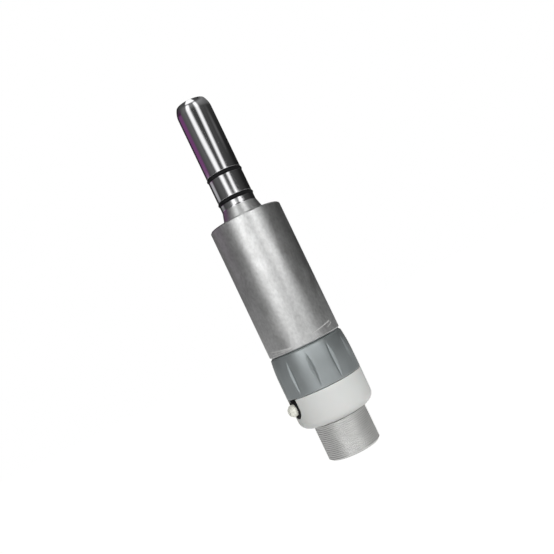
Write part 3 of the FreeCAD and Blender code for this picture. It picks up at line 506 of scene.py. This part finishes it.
def mark_metal():
    """Etched lines: bright metal with a frosted grain."""
    finish = Finish("etched_mark", (0.80, 0.80, 0.79), metallic=0.6, roughness=0.55)
    finish.vary_colour((3000, 3000, 3000), 0.08)
    finish.relief((7000, 7000, 7000), 4.0)
    return finish.material


def make_finishes():
    """One material for each slot of the record."""
    return {
        "polished_spigot": polished_spigot(),
        "satin_case": satin_case(),
        "anodised_ring": anodised_ring(),
        "cover_plastic": cover_plastic(),
        "connector_steel": steel("connector_steel", (0.62, 0.62, 0.61), 0.45),
        "rubber": rubber(),
        "nipple_metal": nipple_metal(),
        "tube_steel": steel("tube_steel", (0.62, 0.62, 0.61), 0.3),
        "screw_steel": steel("screw_steel", (0.16, 0.16, 0.165), 0.35),
        "plate_steel": steel("plate_steel", (0.58, 0.58, 0.57), 0.28),
        "rotor_steel": steel("rotor_steel", (0.48, 0.48, 0.49), 0.25),
        "drive_steel": steel("drive_steel", (0.42, 0.42, 0.43), 0.3),
        "bearing_steel": steel("bearing_steel", (0.68, 0.68, 0.70), 0.12, marks=0.2),
        "cage_brass": steel("cage_brass", (0.70, 0.52, 0.22), 0.3),
        "spring_steel": steel("spring_steel", (0.52, 0.52, 0.54), 0.28),
        "vane_resin": resin("vane_resin", (0.22, 0.12, 0.06), 0.5),
        "disc_plastic": resin("disc_plastic", (0.72, 0.70, 0.62), 0.4),
    }


def paint(piece, slot):
    """Gives a piece the finish of a slot."""
    piece.data.materials.clear()
    piece.data.materials.append(FINISHES[slot])
    return piece


def paint_cad_nodes():
    """Gives every CAD node the finish that the record names for it."""
    for part in frame["record"]["subparts"]:
        paint(frame["nodes"][part["node"]], part["material_slot"])


# Pieces


def nose_sleeve():
    """The polished spigot with its satin flare, two seal grooves and the handpiece socket."""
    flare_top = CASE_FRONT + FLARE_LENGTH
    wall = CASE_FRONT - CASE_FRONT_WALL
    lead_in = TIP - LEAD_IN_LENGTH
    centre = (NOSE_RADIUS - LEAD_IN_ARC, lead_in)
    end = math.degrees(math.asin(LEAD_IN_LENGTH / LEAD_IN_ARC))
    grooves = []
    for node in ("nose_o_ring_rear", "nose_o_ring_front"):
        middle = (low(node).z + high(node).z) / 2
        grooves += [
            (NOSE_RADIUS, middle - SEAL_GROOVE_HALF, 0.08),
            (SEAL_GROOVE_FLOOR, middle - SEAL_GROOVE_HALF, 0.1),
            (SEAL_GROOVE_FLOOR, middle + SEAL_GROOVE_HALF, 0.1),
            (NOSE_RADIUS, middle + SEAL_GROOVE_HALF, 0.08),
        ]
    outline = rounded([
        (NOSE_BORE, FLANGE),
        (FLANGE_RADIUS, FLANGE),
        (FLANGE_RADIUS, wall),
        (FLARE_RADIUS, wall),
        (FLARE_RADIUS, CASE_FRONT, 0.2),
        (NOSE_RADIUS, flare_top, FLARE_BLEND),
        *grooves,
        *arc_points(centre, LEAD_IN_ARC, 0, end - 1.5, 16),
        (centre[0] + LEAD_IN_ARC * math.cos(math.radians(end)), TIP, 0.12),
        (SOCKET_RADIUS + 0.3, TIP, 0.05),
        (SOCKET_RADIUS, TIP - 0.3, 0.05),
        (SOCKET_RADIUS, TIP - SOCKET_DEPTH),
        (NOSE_BORE, TIP - SOCKET_DEPTH),
    ])
    piece = put_on(turned("spigot", outline), "case", "nose_sleeve")
    paint(piece, "polished_spigot")
    piece.data.materials.append(FINISHES["satin_case"])
    for face in piece.data.polygons:
        face.material_index = int(face.center.z < (flare_top - SATIN_EDGE) * MM)
    return piece


def nose_o_ring(side):
    """A round rubber seal in its groove."""
    node = f"nose_o_ring_{side}"
    middle = (low(node).z + high(node).z) / 2
    outer = high(node).x
    centre = (outer - SEAL_SECTION / 2, middle)
    outline = arc_points(centre, SEAL_SECTION / 2, 0, 360, 33)[:-1]
    return paint(put_on(turned(f"o_ring_{side}", outline), "case", node), "rubber")


def motor_case():
    """The satin shell."""
    wall = CASE_FRONT - CASE_FRONT_WALL
    outline = rounded([
        (CASE_BORE, CASE_REAR),
        (CASE_RADIUS - CASE_EDGE, CASE_REAR, 0.08),
        (CASE_RADIUS, CASE_REAR + CASE_EDGE, 0.15),
        (CASE_RADIUS, CASE_FRONT - CASE_EDGE, 0.25),
        (CASE_RADIUS - CASE_EDGE, CASE_FRONT, 0.15),
        (FLARE_RADIUS + 0.03, CASE_FRONT, 0.02),
        (FLARE_RADIUS + 0.03, wall),
        (CASE_BORE, wall),
    ])
    return paint(put_on(turned("case_shell", outline), "case", "motor_case"), "satin_case")


def flute_bite(radius, height, turn):
    """Cuts the leaf-shaped flutes: the bite of V-edged discs that stand in line with the axis."""
    disc = ((FLUTE_LENGTH / 2) ** 2 + FLUTE_DEPTH ** 2) / (2 * FLUTE_DEPTH)
    axis = RING_RADIUS - FLUTE_DEPTH + disc
    spacing = 2 * math.pi / FLUTE_COUNT
    off = (turn - math.radians(FLUTE_PHASE) + spacing / 2) % spacing - spacing / 2
    slope = 2 * FLUTE_DEPTH / FLUTE_WIDTH
    edge = disc - np.abs(RING_RADIUS * np.sin(off)) * slope
    lift = height - (RING_REAR + FLUTE_CENTRE)
    inside = edge ** 2 - lift ** 2
    floor = (axis - np.sqrt(np.maximum(inside, 0))) / np.cos(off)
    floor = np.where(inside > 0, floor, axis)
    return -FLUTE_EDGE * np.logaddexp(-radius / FLUTE_EDGE, -floor / FLUTE_EDGE)


def control_ring():
    """The fluted direction ring."""
    front_radius = RING_RADIUS - RING_TAPER
    front_edge = RING_FRONT - RING_FRONT_EDGE
    soft, drop = 0.05, 0.07
    bow = RING_FRONT - RING_BOW_LENGTH
    rise = np.linspace(RING_REAR + 0.3, bow, 50)
    lean = np.linspace(bow, front_edge, 44)[1:]
    outline = [(RING_BORE, RING_REAR)]
    outline += arc_points((RING_RADIUS - 0.2, RING_REAR + 0.2), 0.2, -90, 0, 6)
    outline += [(RING_RADIUS, z) for z in rise]
    outline += [(RING_RADIUS - RING_TAPER * ((z - bow) / RING_BOW_LENGTH) ** 2, z) for z in lean]
    outline += [
        (front_radius - soft, front_edge + drop),
        (front_radius - RING_FRONT_EDGE + soft, RING_FRONT - drop),
        (front_radius - RING_FRONT_EDGE - soft, RING_FRONT),
        (RING_BORE, RING_FRONT),
    ]
    piece = turned("direction_ring", outline, FLUTE_COUNT * 48, FLUTE_PHASE, flute_bite, sharp=24)
    return paint(put_on(piece, "control_ring", "control_ring"), "anodised_ring")


def notch_cutter():
    """A round-ended slot that opens towards the front, cut from the -X side."""
    outline = arc_points((0, NIPPLE_HEIGHT), NOTCH_RADIUS, 180, 360, 33)
    outline += [(NOTCH_RADIUS, COVER_FRONT + 1), (-NOTCH_RADIUS, COVER_FRONT + 1)]
    near = [Vector((-NOTCH_INNER, across, up)) * MM for across, up in outline]
    far = [Vector((-NOTCH_OUTER, across, up)) * MM for across, up in outline]
    count = len(outline)
    faces = [tuple(range(count)), tuple(range(2 * count - 1, count - 1, -1))]
    faces += [(i, (i + 1) % count, (i + 1) % count + count, i + count) for i in range(count)]
    return shaded("cutter", near + far, faces)


def screw_place():
    """From a screw on Z to its place in the white ring's shoulder."""
    lift = Matrix.Translation((0, 0, (COVER_REAR + SCREW_HEIGHT) * MM))
    return lift @ Matrix.Rotation(math.radians(SCREW_ANGLE), 4, "Z") @ Matrix.Rotation(math.pi / 2, 4, "Y")


def rear_cover_ring():
    """The off-white ring with its side notch and the set screw's hole."""
    rear_radius = COVER_RADIUS - COVER_TAPER
    corner = (rear_radius - COVER_CORNER, COVER_REAR + COVER_CORNER)
    rise = np.linspace(corner[1], COVER_FRONT - 0.2, 8)[1:]
    taper = COVER_TAPER / (COVER_FRONT - corner[1])
    outline = rounded([
        (COVER_BORE, COVER_REAR + COVER_LIP),
        (LIP_BORE, COVER_REAR + COVER_LIP),
        (LIP_BORE, COVER_REAR, 0.12),
        *arc_points(corner, COVER_CORNER, -90, 0, 14),
        *[(rear_radius + taper * (z - corner[1]), z) for z in rise],
        (COVER_RADIUS, COVER_FRONT, 0.12),
        (COVER_BORE, COVER_FRONT),
    ])
    piece = turned("white_ring", outline)
    hole = place(rod(SCREW_RADIUS + SCREW_CLEARANCE, SCREW_INNER - 1, SIDE_END), screw_place())
    cut(piece, [notch_cutter(), hole], bevel=NOTCH_EDGE)
    return paint(put_on(piece, "case", "rear_cover_ring"), "cover_plastic")


def hexagon_socket(radius, height, turn):
    """Draws the socket's wall out to a hexagon."""
    off = turn % (math.pi / 3) - math.pi / 6
    return np.where(radius < SCREW_SOCKET + 0.01, radius / np.cos(off), radius)


def set_screw():
    """The dark set screw in the shoulder, with a hexagon socket."""
    flat = SCREW_SOCKET
    outline = [
        (0, SCREW_INNER),
        *arc_points((SCREW_RADIUS - 0.1, SCREW_INNER + 0.1), 0.1, -90, 0, 4),
        *arc_points((SCREW_RADIUS - 0.12, SCREW_OUTER - 0.12), 0.12, 0, 90, 4),
        (flat, SCREW_OUTER),
        (flat, SCREW_OUTER - SCREW_SOCKET_DEPTH),
        (0, SCREW_OUTER - SCREW_SOCKET_DEPTH),
    ]
    piece = place(turned("set_screw", outline, COARSE_STEPS, shape=hexagon_socket), screw_place())
    return paint(put_on(piece, "case", "cover_set_screw"), "screw_steel")


def connector_thread():
    """The threaded wall round the rear recess: rings of points, with a helix of them between."""
    start = THREAD_CHAMFER
    end = COVER_REAR - RUN_OUT_LENGTH
    shoulder = COVER_REAR + COVER_LIP
    turn = np.linspace(0, 2 * math.pi, THREAD_STEPS + 1)
    phase = np.arange(0, (end - start) / THREAD_PITCH + 2, 1 / THREAD_ROWS)[:, None]
    height = np.clip(start + THREAD_PITCH * (phase - 1 + turn / (2 * math.pi)), start, end)
    depth = THREAD_DEPTH * np.clip((np.abs(2 * (phase % 1) - 1) - THREAD_ROOT) / THREAD_FLANK, 0, 1)
    fade = np.clip(np.minimum(height - start, end - height) / THREAD_FADE, 0, 1)
    helix = np.stack([THREAD_RADIUS - depth * fade, height], axis=-1)
    before = [
        (RECESS_RADIUS, RECESS_DEPTH + 1),
        (RECESS_RADIUS, 0.25),
        (RECESS_RADIUS + 0.2, 0.0),
        (THREAD_RADIUS - THREAD_CHAMFER, 0.0),
        (THREAD_RADIUS - 0.05, THREAD_CHAMFER - 0.05),
    ]
    after = [
        (RUN_OUT_RADIUS, end + 0.1),
        (RUN_OUT_RADIUS, shoulder + 0.5),
        (RECESS_RADIUS, shoulder + 0.5),
    ]
    rings = [np.repeat(np.array(rows)[:, None], len(turn), axis=1) for rows in (before, after)]
    grid = np.concatenate([rings[0], helix, rings[1]])
    radius, height = grid[..., 0], grid[..., 1]
    index = np.arange(radius.size).reshape(radius.shape)
    above = np.roll(index, -1, axis=0)
    faces = quads(index[:, :-1], index[:, 1:], above[:, 1:], above[:, :-1])
    piece = shaded("connector_thread", round_points(radius, turn, height), faces, COIL_SHARP)
    return paint(put_on(piece, "case", "hose_connector"), "connector_steel")


def connector_core():
    """The recess's floor with its four passages, and the spigot that goes into the valve."""
    shoulder = COVER_REAR + COVER_LIP
    groove = [COVER_FRONT + end for end in SPIGOT_GROOVE]
    outline = rounded([
        (0, RECESS_DEPTH),
        (RECESS_RADIUS + 0.1, RECESS_DEPTH),
        (RECESS_RADIUS + 0.1, shoulder),
        (SHOULDER_RADIUS, shoulder),
        (SHOULDER_RADIUS, COVER_FRONT),
        (SPIGOT_RADIUS, COVER_FRONT),
        (SPIGOT_RADIUS, groove[0]),
        (SPIGOT_RADIUS - SPIGOT_GROOVE_DEPTH, groove[0]),
        (SPIGOT_RADIUS - SPIGOT_GROOVE_DEPTH, groove[1]),
        (SPIGOT_RADIUS, groove[1]),
        (SPIGOT_RADIUS, CONNECTOR_FRONT),
        (0, CONNECTOR_FRONT),
    ])
    seat = RECESS_DEPTH + TUBE_SEAT
    cutters = [
        rod(EXHAUST_RADIUS, 1, AXIAL_END, along=EXHAUST_PLACE, steps=PASSAGE_STEPS),
        rod(DRIVE_RADIUS, 1, seat, along=-DRIVE_PLACE, steps=PASSAGE_STEPS),
        rod(DRIVE_RADIUS - DRIVE_NARROWING, 2, AXIAL_END, along=-DRIVE_PLACE, steps=PASSAGE_STEPS),
        place(rod(SCREW_RADIUS + SCREW_CLEARANCE, SCREW_INNER, SIDE_END), screw_place()),
        place(rod(NIPPLE_ROOT_RADIUS + 0.01, NIPPLE_ROOT, SIDE_END), nipple_place()),
    ]
    for across in (-SMALL_PLACE, SMALL_PLACE):
        cutters.append(rod(SMALL_RADIUS, 1, seat, across, steps=PASSAGE_STEPS))
        cutters.append(rod(SMALL_RADIUS - SMALL_NARROWING, 2, NIPPLE_HEIGHT, across, steps=PASSAGE_STEPS))
    piece = cut(turned("connector_core", outline, COARSE_STEPS), cutters)
    return paint(put_on(piece, "case", "hose_connector"), "connector_steel")


def nipple_place():
    """From a nipple on Z to its place, pointing along -X."""
    return Matrix.Translation((0, 0, NIPPLE_HEIGHT * MM)) @ Matrix.Rotation(-math.pi / 2, 4, "Y")


def side_nipple():
    """The plated side nipple."""
    neck = SEAL_FACE + NIPPLE_NECK_LENGTH
    outline = rounded([
        (NIPPLE_BORE, NIPPLE_ROOT),
        (NIPPLE_ROOT_RADIUS, NIPPLE_ROOT),
        (NIPPLE_ROOT_RADIUS, SHOULDER_RADIUS),
        (NIPPLE_STEM_RADIUS, SHOULDER_RADIUS),
        (NIPPLE_STEM_RADIUS, neck),
        (NIPPLE_RADIUS, neck, 0.08),
        (NIPPLE_RADIUS, NIPPLE_TIP - NIPPLE_TAPER_LENGTH, 0.3),
        (NIPPLE_TIP_RADIUS, NIPPLE_TIP, 0.2),
        (NIPPLE_BORE + 0.1, NIPPLE_TIP, 0.05),
        (NIPPLE_BORE, NIPPLE_TIP - 0.2, 0.05),
    ])
    piece = place(turned("side_nipple", outline, COARSE_STEPS), nipple_place())
    return paint(put_on(piece, "case", "water_nipple"), "nipple_metal")


def nipple_seal():
    """The rubber washer that fills the notch, with a raised rim round the nipple."""
    seat = SHOULDER_RADIUS + 0.02
    outline = rounded([
        (SEAL_BORE, seat),
        (SEAL_RADIUS, seat),
        (SEAL_RADIUS, SEAL_RISE),
        *arc_points((SEAL_RADIUS - SEAL_BULGE, SEAL_RISE), SEAL_BULGE, 15, 180, 12),
        (SEAL_RADIUS - 2 * SEAL_BULGE, SEAL_FACE),
        (SEAL_BORE, SEAL_FACE),
    ])
    piece = place(turned("notch_seal", outline, COARSE_STEPS), nipple_place())
    return paint(put_on(piece, "case", "nipple_seal"), "rubber")


def drive_spring():
    """The coil spring behind the drive dog, built at rest with a mesh of its own."""
    foot, top = low("dog_spring").z, high("dog_spring").z
    share = np.linspace(0, 1, 48 * SPRING_TURNS + 1)[:, None]
    turn = 2 * math.pi * SPRING_TURNS * share
    section = np.radians(np.arange(0, 360, 30))
    radius = SPRING_RADIUS + SPRING_WIRE / 2 * np.cos(section)
    height = foot + SPRING_WIRE / 2 * (1 + np.sin(section)) + (top - foot - SPRING_WIRE) * share
    index = np.arange(height.size).reshape(height.shape)
    beside = np.roll(index, -1, axis=1)
    faces = quads(index[:-1], beside[:-1], beside[1:], index[1:])
    faces += [index[0].tolist()[::-1], index[-1].tolist()]
    piece = shaded("drive_spring", round_points(radius, turn, height), faces, COIL_SHARP)
    paint(put_on(piece, "rotor", "dog_spring"), "spring_steel")
    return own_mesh(piece)


# The way that the photograph looks at the motor: places in metres, angles in degrees
VIEW_TURN = -22.0
CAMERA_PLACE = (-0.0682, -0.1687, 0.0409)
CAMERA_ROLL = -25.58
CAMERA_ANGLE = 43.66
LOOK_HEIGHT = 0.0490
LOOK_ASIDE = 0.00093


def around(angle):
    """A direction round the axis, where 0 points at the camera and positive is to its right."""
    turn = math.radians(VIEW_TURN - 90 + angle)
    return Vector((math.cos(turn), math.sin(turn), 0))


# Etched marks: angles, heights above the case's rear end and widths, each at a mark's start and end
MARK_RISE = 0.012
MARKS = {
    "mark_left": ((-62, -20), (1.75, 0.95), (0.16, 0.3)),
    "mark_left_low": ((-62, -24), (0.95, 0.75), (0.12, 0.12)),
    "mark_right": ((16, 54), (1.9, 2.9), (0.1, 0.36)),
    "mark_right_barb": ((44, 56), (1.6, 2.3), (0.12, 0.3)),
}


def arc_mark(name, angles, heights, widths, count=24):
    """An etched line along the case's surface, from one angle, height and width to another."""
    share = np.linspace(0, 1, count)
    angle = angles[0] + (angles[1] - angles[0]) * share
    height = CASE_REAR + heights[0] + (heights[1] - heights[0]) * share
    width = widths[0] + (widths[1] - widths[0]) * share
    points = []
    for turn, middle, wide in zip(angle, height, width):
        out = around(turn) * (CASE_RADIUS + MARK_RISE)
        points.append((out.x, out.y, middle - wide / 2))
        points.append((out.x, out.y, middle + wide / 2))
    faces = [(2 * i, 2 * i + 2, 2 * i + 3, 2 * i + 1) for i in range(count - 1)]
    mesh = bpy.data.meshes.new(name)
    mesh.from_pydata((np.array(points) * MM).tolist(), [], faces)
    piece = new_object(name, mesh)
    piece.data.materials.append(MARK_FINISH)
    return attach(piece, "case")


def direction_marks():
    """Plain arcs beside the ring, which show the ways that it turns."""
    for name, ends in MARKS.items():
        arc_mark(name, *ends)


# Studio

# The surround stands round the motor's axis. Only reflections see it.
# From here on, heights and distances are in metres.
SURROUND_DISTANCE = 0.45
SURROUND_REACH = 176
SURROUND_COLUMNS = 353
SURROUND_STEP = 0.01
SURROUND_FINE = 0.3
SURROUND_UPPER = (0.5, 0.68, 0.73, 0.78, 3.0)

# The room behind the soft boxes: its light at these angles, at a few heights
ROOM_ANGLES = (-145, -125, -96, -60, 0, 60, 110)
ROOM = [
    (-0.14, (0.5, 0.5, 0.5, 0.36, 0.4, 0.6, 0.75)),
    (-0.06, (0.6, 0.6, 0.55, 0.4, 0.45, 0.55, 0.5)),
    (-0.01, (0.45, 0.45, 0.4, 0.25, 0.42, 0.3, 0.25)),
    (0.05, (0.14, 0.14, 0.13, 0.14, 0.48, 0.02, 0.02)),
    (0.10, (0.16, 0.16, 0.16, 0.17, 1.0, 0.05, 0.05)),
    (0.125, (0.16, 0.16, 0.16, 0.17, 2.3, 0.06, 0.05)),
    (0.145, (0.04, 0.05, 0.05, 0.13, 0.12, 0.08, 0.02)),
    (0.192, (0.03, 0.05, 0.08, 0.16, 0.10, 0.08, 0.02)),
    (0.235, (0.03, 0.05, 0.10, 0.17, 0.06, 0.09, 0.04)),
    (0.42, (0.03, 0.05, 0.12, 0.26, 0.36, 0.46, 0.40)),
    (0.68, (0.05, 0.08, 0.10, 0.10, 0.20, 0.12, 0.05)),
]

# Soft boxes and side walls: colour, softness of the edges in degrees, and rows of a height,
# the left and right edges at it, and the light
BOXES = {
    "left_box": ((1.0, 1.0, 1.0), 12, [
        (-0.14, -30, -8, 0.75),
        (-0.06, -38, -8, 0.68),
        (0.0, -38, -6, 0.5),
        (0.055, -37, 2, 0.85),
        (0.10, -38, 4, 2.4),
        (0.125, -39, 5, 4.6),
        (0.145, -27, -9, 1.6),
        (0.192, -36.5, -9.5, 1.55),
        (0.21, -41.5, -14, 1.5),
        (0.235, -42, -18, 1.5),
        (0.42, -42, -18, 2.4),
        (0.68, -42, -18, 1.5),
    ]),
    "right_box": ((1.0, 1.0, 1.0), 12, [
        (-0.14, 21, 57, 0.75),
        (-0.06, 20, 57, 0.68),
        (0.0, 20, 50, 0.28),
        (0.055, 19, 40, 0.1),
        (0.10, 20, 44, 0.9),
        (0.125, 21, 51, 7.6),
        (0.145, 14, 31, 1.5),
        (0.192, 16.5, 35, 1.5),
        (0.235, 19.5, 40.5, 1.5),
        (0.42, 19.5, 40.5, 2.4),
        (0.68, 19.5, 40.5, 1.5),
    ]),
    "top_box": ((1.0, 1.0, 1.0), 5, [
        (0.68, -48, 43, 0.1),
        (0.78, -48, 43, 1.7),
        (3.0, -48, 43, 1.7),
    ]),
    "right_strip": ((1.0, 1.0, 1.0), 10, [
        (0.195, 78, 96, 0.06),
        (0.205, 78, 96, 0.16),
        (0.24, 78, 96, 0.12),
    ]),
    "side_card": ((0.97, 0.97, 1.0), 10, [
        (0.145, -128, -100, 0.1),
        (0.152, -128, -100, 0.62),
        (0.172, -128, -100, 0.62),
        (0.176, -128, -100, 0.1),
    ]),
    "purple_wall": ((1.0, 0.34, 0.98), 14, [
        (0.172, -132, -92, 0.1),
        (0.18, -132, -92, 0.24),
        (0.25, -132, -92, 0.22),
        (0.3, -132, -92, 0.05),
    ]),
}


# The kinds of ray that see the white background
SEEN_KINDS = ("Is Camera Ray", "Is Glossy Ray", "Is Transmission Ray")

# The soft light on the plastic, the rubber and the floor
AMBIENT_COLOUR = (1.0, 1.0, 0.96)
AMBIENT = 0.31
LAMP_COLOUR = (0.98, 0.99, 1.0)
LAMP_SIZE = 0.35
LAMP_DISTANCE = 0.5
LAMP_AIM = 0.045

# The floor, and what it adds to the light that falls on it, where it is seen and where it is mirrored
FLOOR_HALF = 4.0
FLOOR_LEVEL = -0.15
FLOOR_COLOUR = (0.9, 0.9, 0.9)
FLOOR_GLOW = 0.74
MIRRORED_GLOW = 0.35


def lit_surface(name):
    """A glowing material whose colour is the mesh's own."""
    material = bpy.data.materials.new(name)
    material.use_nodes = True
    tree = material.node_tree
    tree.nodes.clear()
    colour = tree.nodes.new("ShaderNodeAttribute")
    colour.attribute_name = "glow"
    glow = tree.nodes.new("ShaderNodeEmission")
    tree.links.new(colour.outputs["Color"], glow.inputs["Color"])
    output = tree.nodes.new("ShaderNodeOutputMaterial")
    tree.links.new(glow.outputs["Emission"], output.inputs["Surface"])
    return material


def surround():
    """The room that only reflections see: soft boxes in front, with darker room between and beside them."""
    angles = np.linspace(-SURROUND_REACH, SURROUND_REACH, SURROUND_COLUMNS)
    levels = np.append(np.arange(ROOM[0][0], SURROUND_FINE, SURROUND_STEP), SURROUND_UPPER)
    angle, level = np.meshgrid(angles, levels)
    room_heights = [height for height, lights in ROOM]
    by_angle = np.array([np.interp(angles, ROOM_ANGLES, lights) for height, lights in ROOM])
    light = np.stack([np.interp(levels, room_heights, column) for column in by_angle.T], axis=1)
    light = np.repeat(light[:, :, None], 3, axis=2)
    for colour, softness, rows in BOXES.values():
        heights, lefts, rights, lights = np.array(rows).T
        left, right = np.interp(level, heights, lefts), np.interp(level, heights, rights)
        into = np.minimum(angle - left, right - angle)
        share = np.clip(into / softness + 0.5, 0, 1)
        share *= (level >= heights[0]) & (level <= heights[-1])
        glow = np.interp(level, heights, lights)[:, :, None] * np.array(colour)
        light += (glow - light) * share[:, :, None]
    turn = np.radians(VIEW_TURN - 90 + angle)
    points = np.stack([np.cos(turn) * SURROUND_DISTANCE, np.sin(turn) * SURROUND_DISTANCE, level], axis=-1)
    index = np.arange(angle.size).reshape(angle.shape)
    faces = quads(index[:-1, :-1], index[:-1, 1:], index[1:, 1:], index[1:, :-1])
    mesh = bpy.data.meshes.new("surround")
    mesh.from_pydata(points.reshape(-1, 3).tolist(), [], faces)
    colours = np.concatenate([light, np.ones(angle.shape + (1,))], axis=-1)
    mesh.color_attributes.new("glow", "FLOAT_COLOR", "POINT").data.foreach_set("color", colours.ravel())
    piece = new_object("surround", mesh)
    piece.data.materials.append(lit_surface("surround"))
    piece.visible_camera = False
    piece.visible_diffuse = False
    piece.visible_shadow = False
    piece.visible_transmission = False


def lamp(name, angle, height, power):
    """A soft lamp that lights the plastic, the rubber and the floor, aimed at the motor."""
    light = bpy.data.lights.new(name, "AREA")
    light.shape = "SQUARE"
    light.size = LAMP_SIZE
    light.energy = power
    light.color = LAMP_COLOUR
    piece = bpy.data.objects.new(name, light)
    bpy.context.scene.collection.objects.link(piece)
    piece.location = around(angle) * LAMP_DISTANCE + Vector((0, 0, height))
    aim = Vector((0, 0, LAMP_AIM)) - piece.location
    piece.rotation_euler = aim.to_track_quat("-Z", "Y").to_euler()
    piece.visible_glossy = False


def ray_switch(tree, kinds):
    """1 for the named kinds of ray and 0 for the others."""
    path = tree.nodes.new("ShaderNodeLightPath")
    total = path.outputs[kinds[0]]
    for kind in kinds[1:]:
        most = tree.nodes.new("ShaderNodeMath")
        most.operation = "MAXIMUM"
        tree.links.new(total, most.inputs[0])
        tree.links.new(path.outputs[kind], most.inputs[1])
        total = most.outputs[0]
    return total


def world():
    """White where it is seen or mirrored, and a plain soft light on the rest."""
    scene_world = bpy.data.worlds.new("studio")
    bpy.context.scene.world = scene_world
    scene_world.use_nodes = True
    tree = scene_world.node_tree
    tree.nodes.clear()
    lights = tree.nodes.new("ShaderNodeBackground")
    lights.inputs["Color"].default_value = (*AMBIENT_COLOUR, 1)
    lights.inputs["Strength"].default_value = AMBIENT
    seen = tree.nodes.new("ShaderNodeBackground")
    seen.inputs["Color"].default_value = (1, 1, 1, 1)
    seen.inputs["Strength"].default_value = 1.0
    mix = tree.nodes.new("ShaderNodeMixShader")
    output = tree.nodes.new("ShaderNodeOutputWorld")
    tree.links.new(ray_switch(tree, SEEN_KINDS), mix.inputs["Fac"])
    tree.links.new(lights.outputs[0], mix.inputs[1])
    tree.links.new(seen.outputs[0], mix.inputs[2])
    tree.links.new(mix.outputs[0], output.inputs["Surface"])


def floor():
    """A pale floor below the motor, which is held by its hose end. It keeps the shadow."""
    mesh = bpy.data.meshes.new("floor")
    corners = [(x * FLOOR_HALF, y * FLOOR_HALF, FLOOR_LEVEL) for x, y in ((-1, -1), (1, -1), (1, 1), (-1, 1))]
    mesh.from_pydata(corners, [], [(0, 1, 2, 3)])
    piece = new_object("floor", mesh)
    material = bpy.data.materials.new("floor")
    material.use_nodes = True
    tree = material.node_tree
    tree.nodes.clear()
    matt = tree.nodes.new("ShaderNodeBsdfDiffuse")
    matt.inputs["Color"].default_value = (*FLOOR_COLOUR, 1)
    glow = tree.nodes.new("ShaderNodeEmission")
    glow.inputs["Color"].default_value = (1, 1, 1, 1)
    mirrored = tree.nodes.new("ShaderNodeMath")
    mirrored.operation = "MULTIPLY"
    mirrored.inputs[1].default_value = MIRRORED_GLOW
    tree.links.new(ray_switch(tree, SEEN_KINDS[1:]), mirrored.inputs[0])
    seen = tree.nodes.new("ShaderNodeMath")
    seen.operation = "MULTIPLY_ADD"
    seen.inputs[1].default_value = FLOOR_GLOW
    tree.links.new(ray_switch(tree, SEEN_KINDS[:1]), seen.inputs[0])
    tree.links.new(mirrored.outputs[0], seen.inputs[2])
    tree.links.new(seen.outputs[0], glow.inputs["Strength"])
    both = tree.nodes.new("ShaderNodeAddShader")
    output = tree.nodes.new("ShaderNodeOutputMaterial")
    tree.links.new(matt.outputs[0], both.inputs[0])
    tree.links.new(glow.outputs[0], both.inputs[1])
    tree.links.new(both.outputs[0], output.inputs["Surface"])
    piece.data.materials.append(material)


def camera():
    """The camera at the photograph's viewing angle."""
    lens = bpy.data.cameras.new("camera")
    lens.angle = math.radians(CAMERA_ANGLE)
    lens.clip_start = 0.005
    piece = bpy.data.objects.new("camera", lens)
    bpy.context.scene.collection.objects.link(piece)
    piece.location = CAMERA_PLACE
    aside = around(90) * LOOK_ASIDE
    look = Vector((aside.x, aside.y, LOOK_HEIGHT)) - piece.location
    piece.rotation_mode = "QUATERNION"
    roll = Quaternion((0, 0, 1), math.radians(CAMERA_ROLL))
    piece.rotation_quaternion = look.to_track_quat("-Z", "Y") @ roll
    bpy.context.scene.camera = piece


FINISHES = make_finishes()
MARK_FINISH = mark_metal()
paint_cad_nodes()
nose_sleeve()
nose_o_ring("front")
nose_o_ring("rear")
motor_case()
control_ring()
rear_cover_ring()
set_screw()
connector_thread()
connector_core()
side_nipple()
nipple_seal()
drive_spring()
direction_marks()

floor()
world()
surround()
lamp("lamp_left", -45, 0.25, 0.08)
lamp("lamp_right", 12, 0.22, 1.76)
lamp("lamp_back", 172, 0.25, 1.3)
camera()
bpy.context.scene.view_settings.view_transform = "Standard"
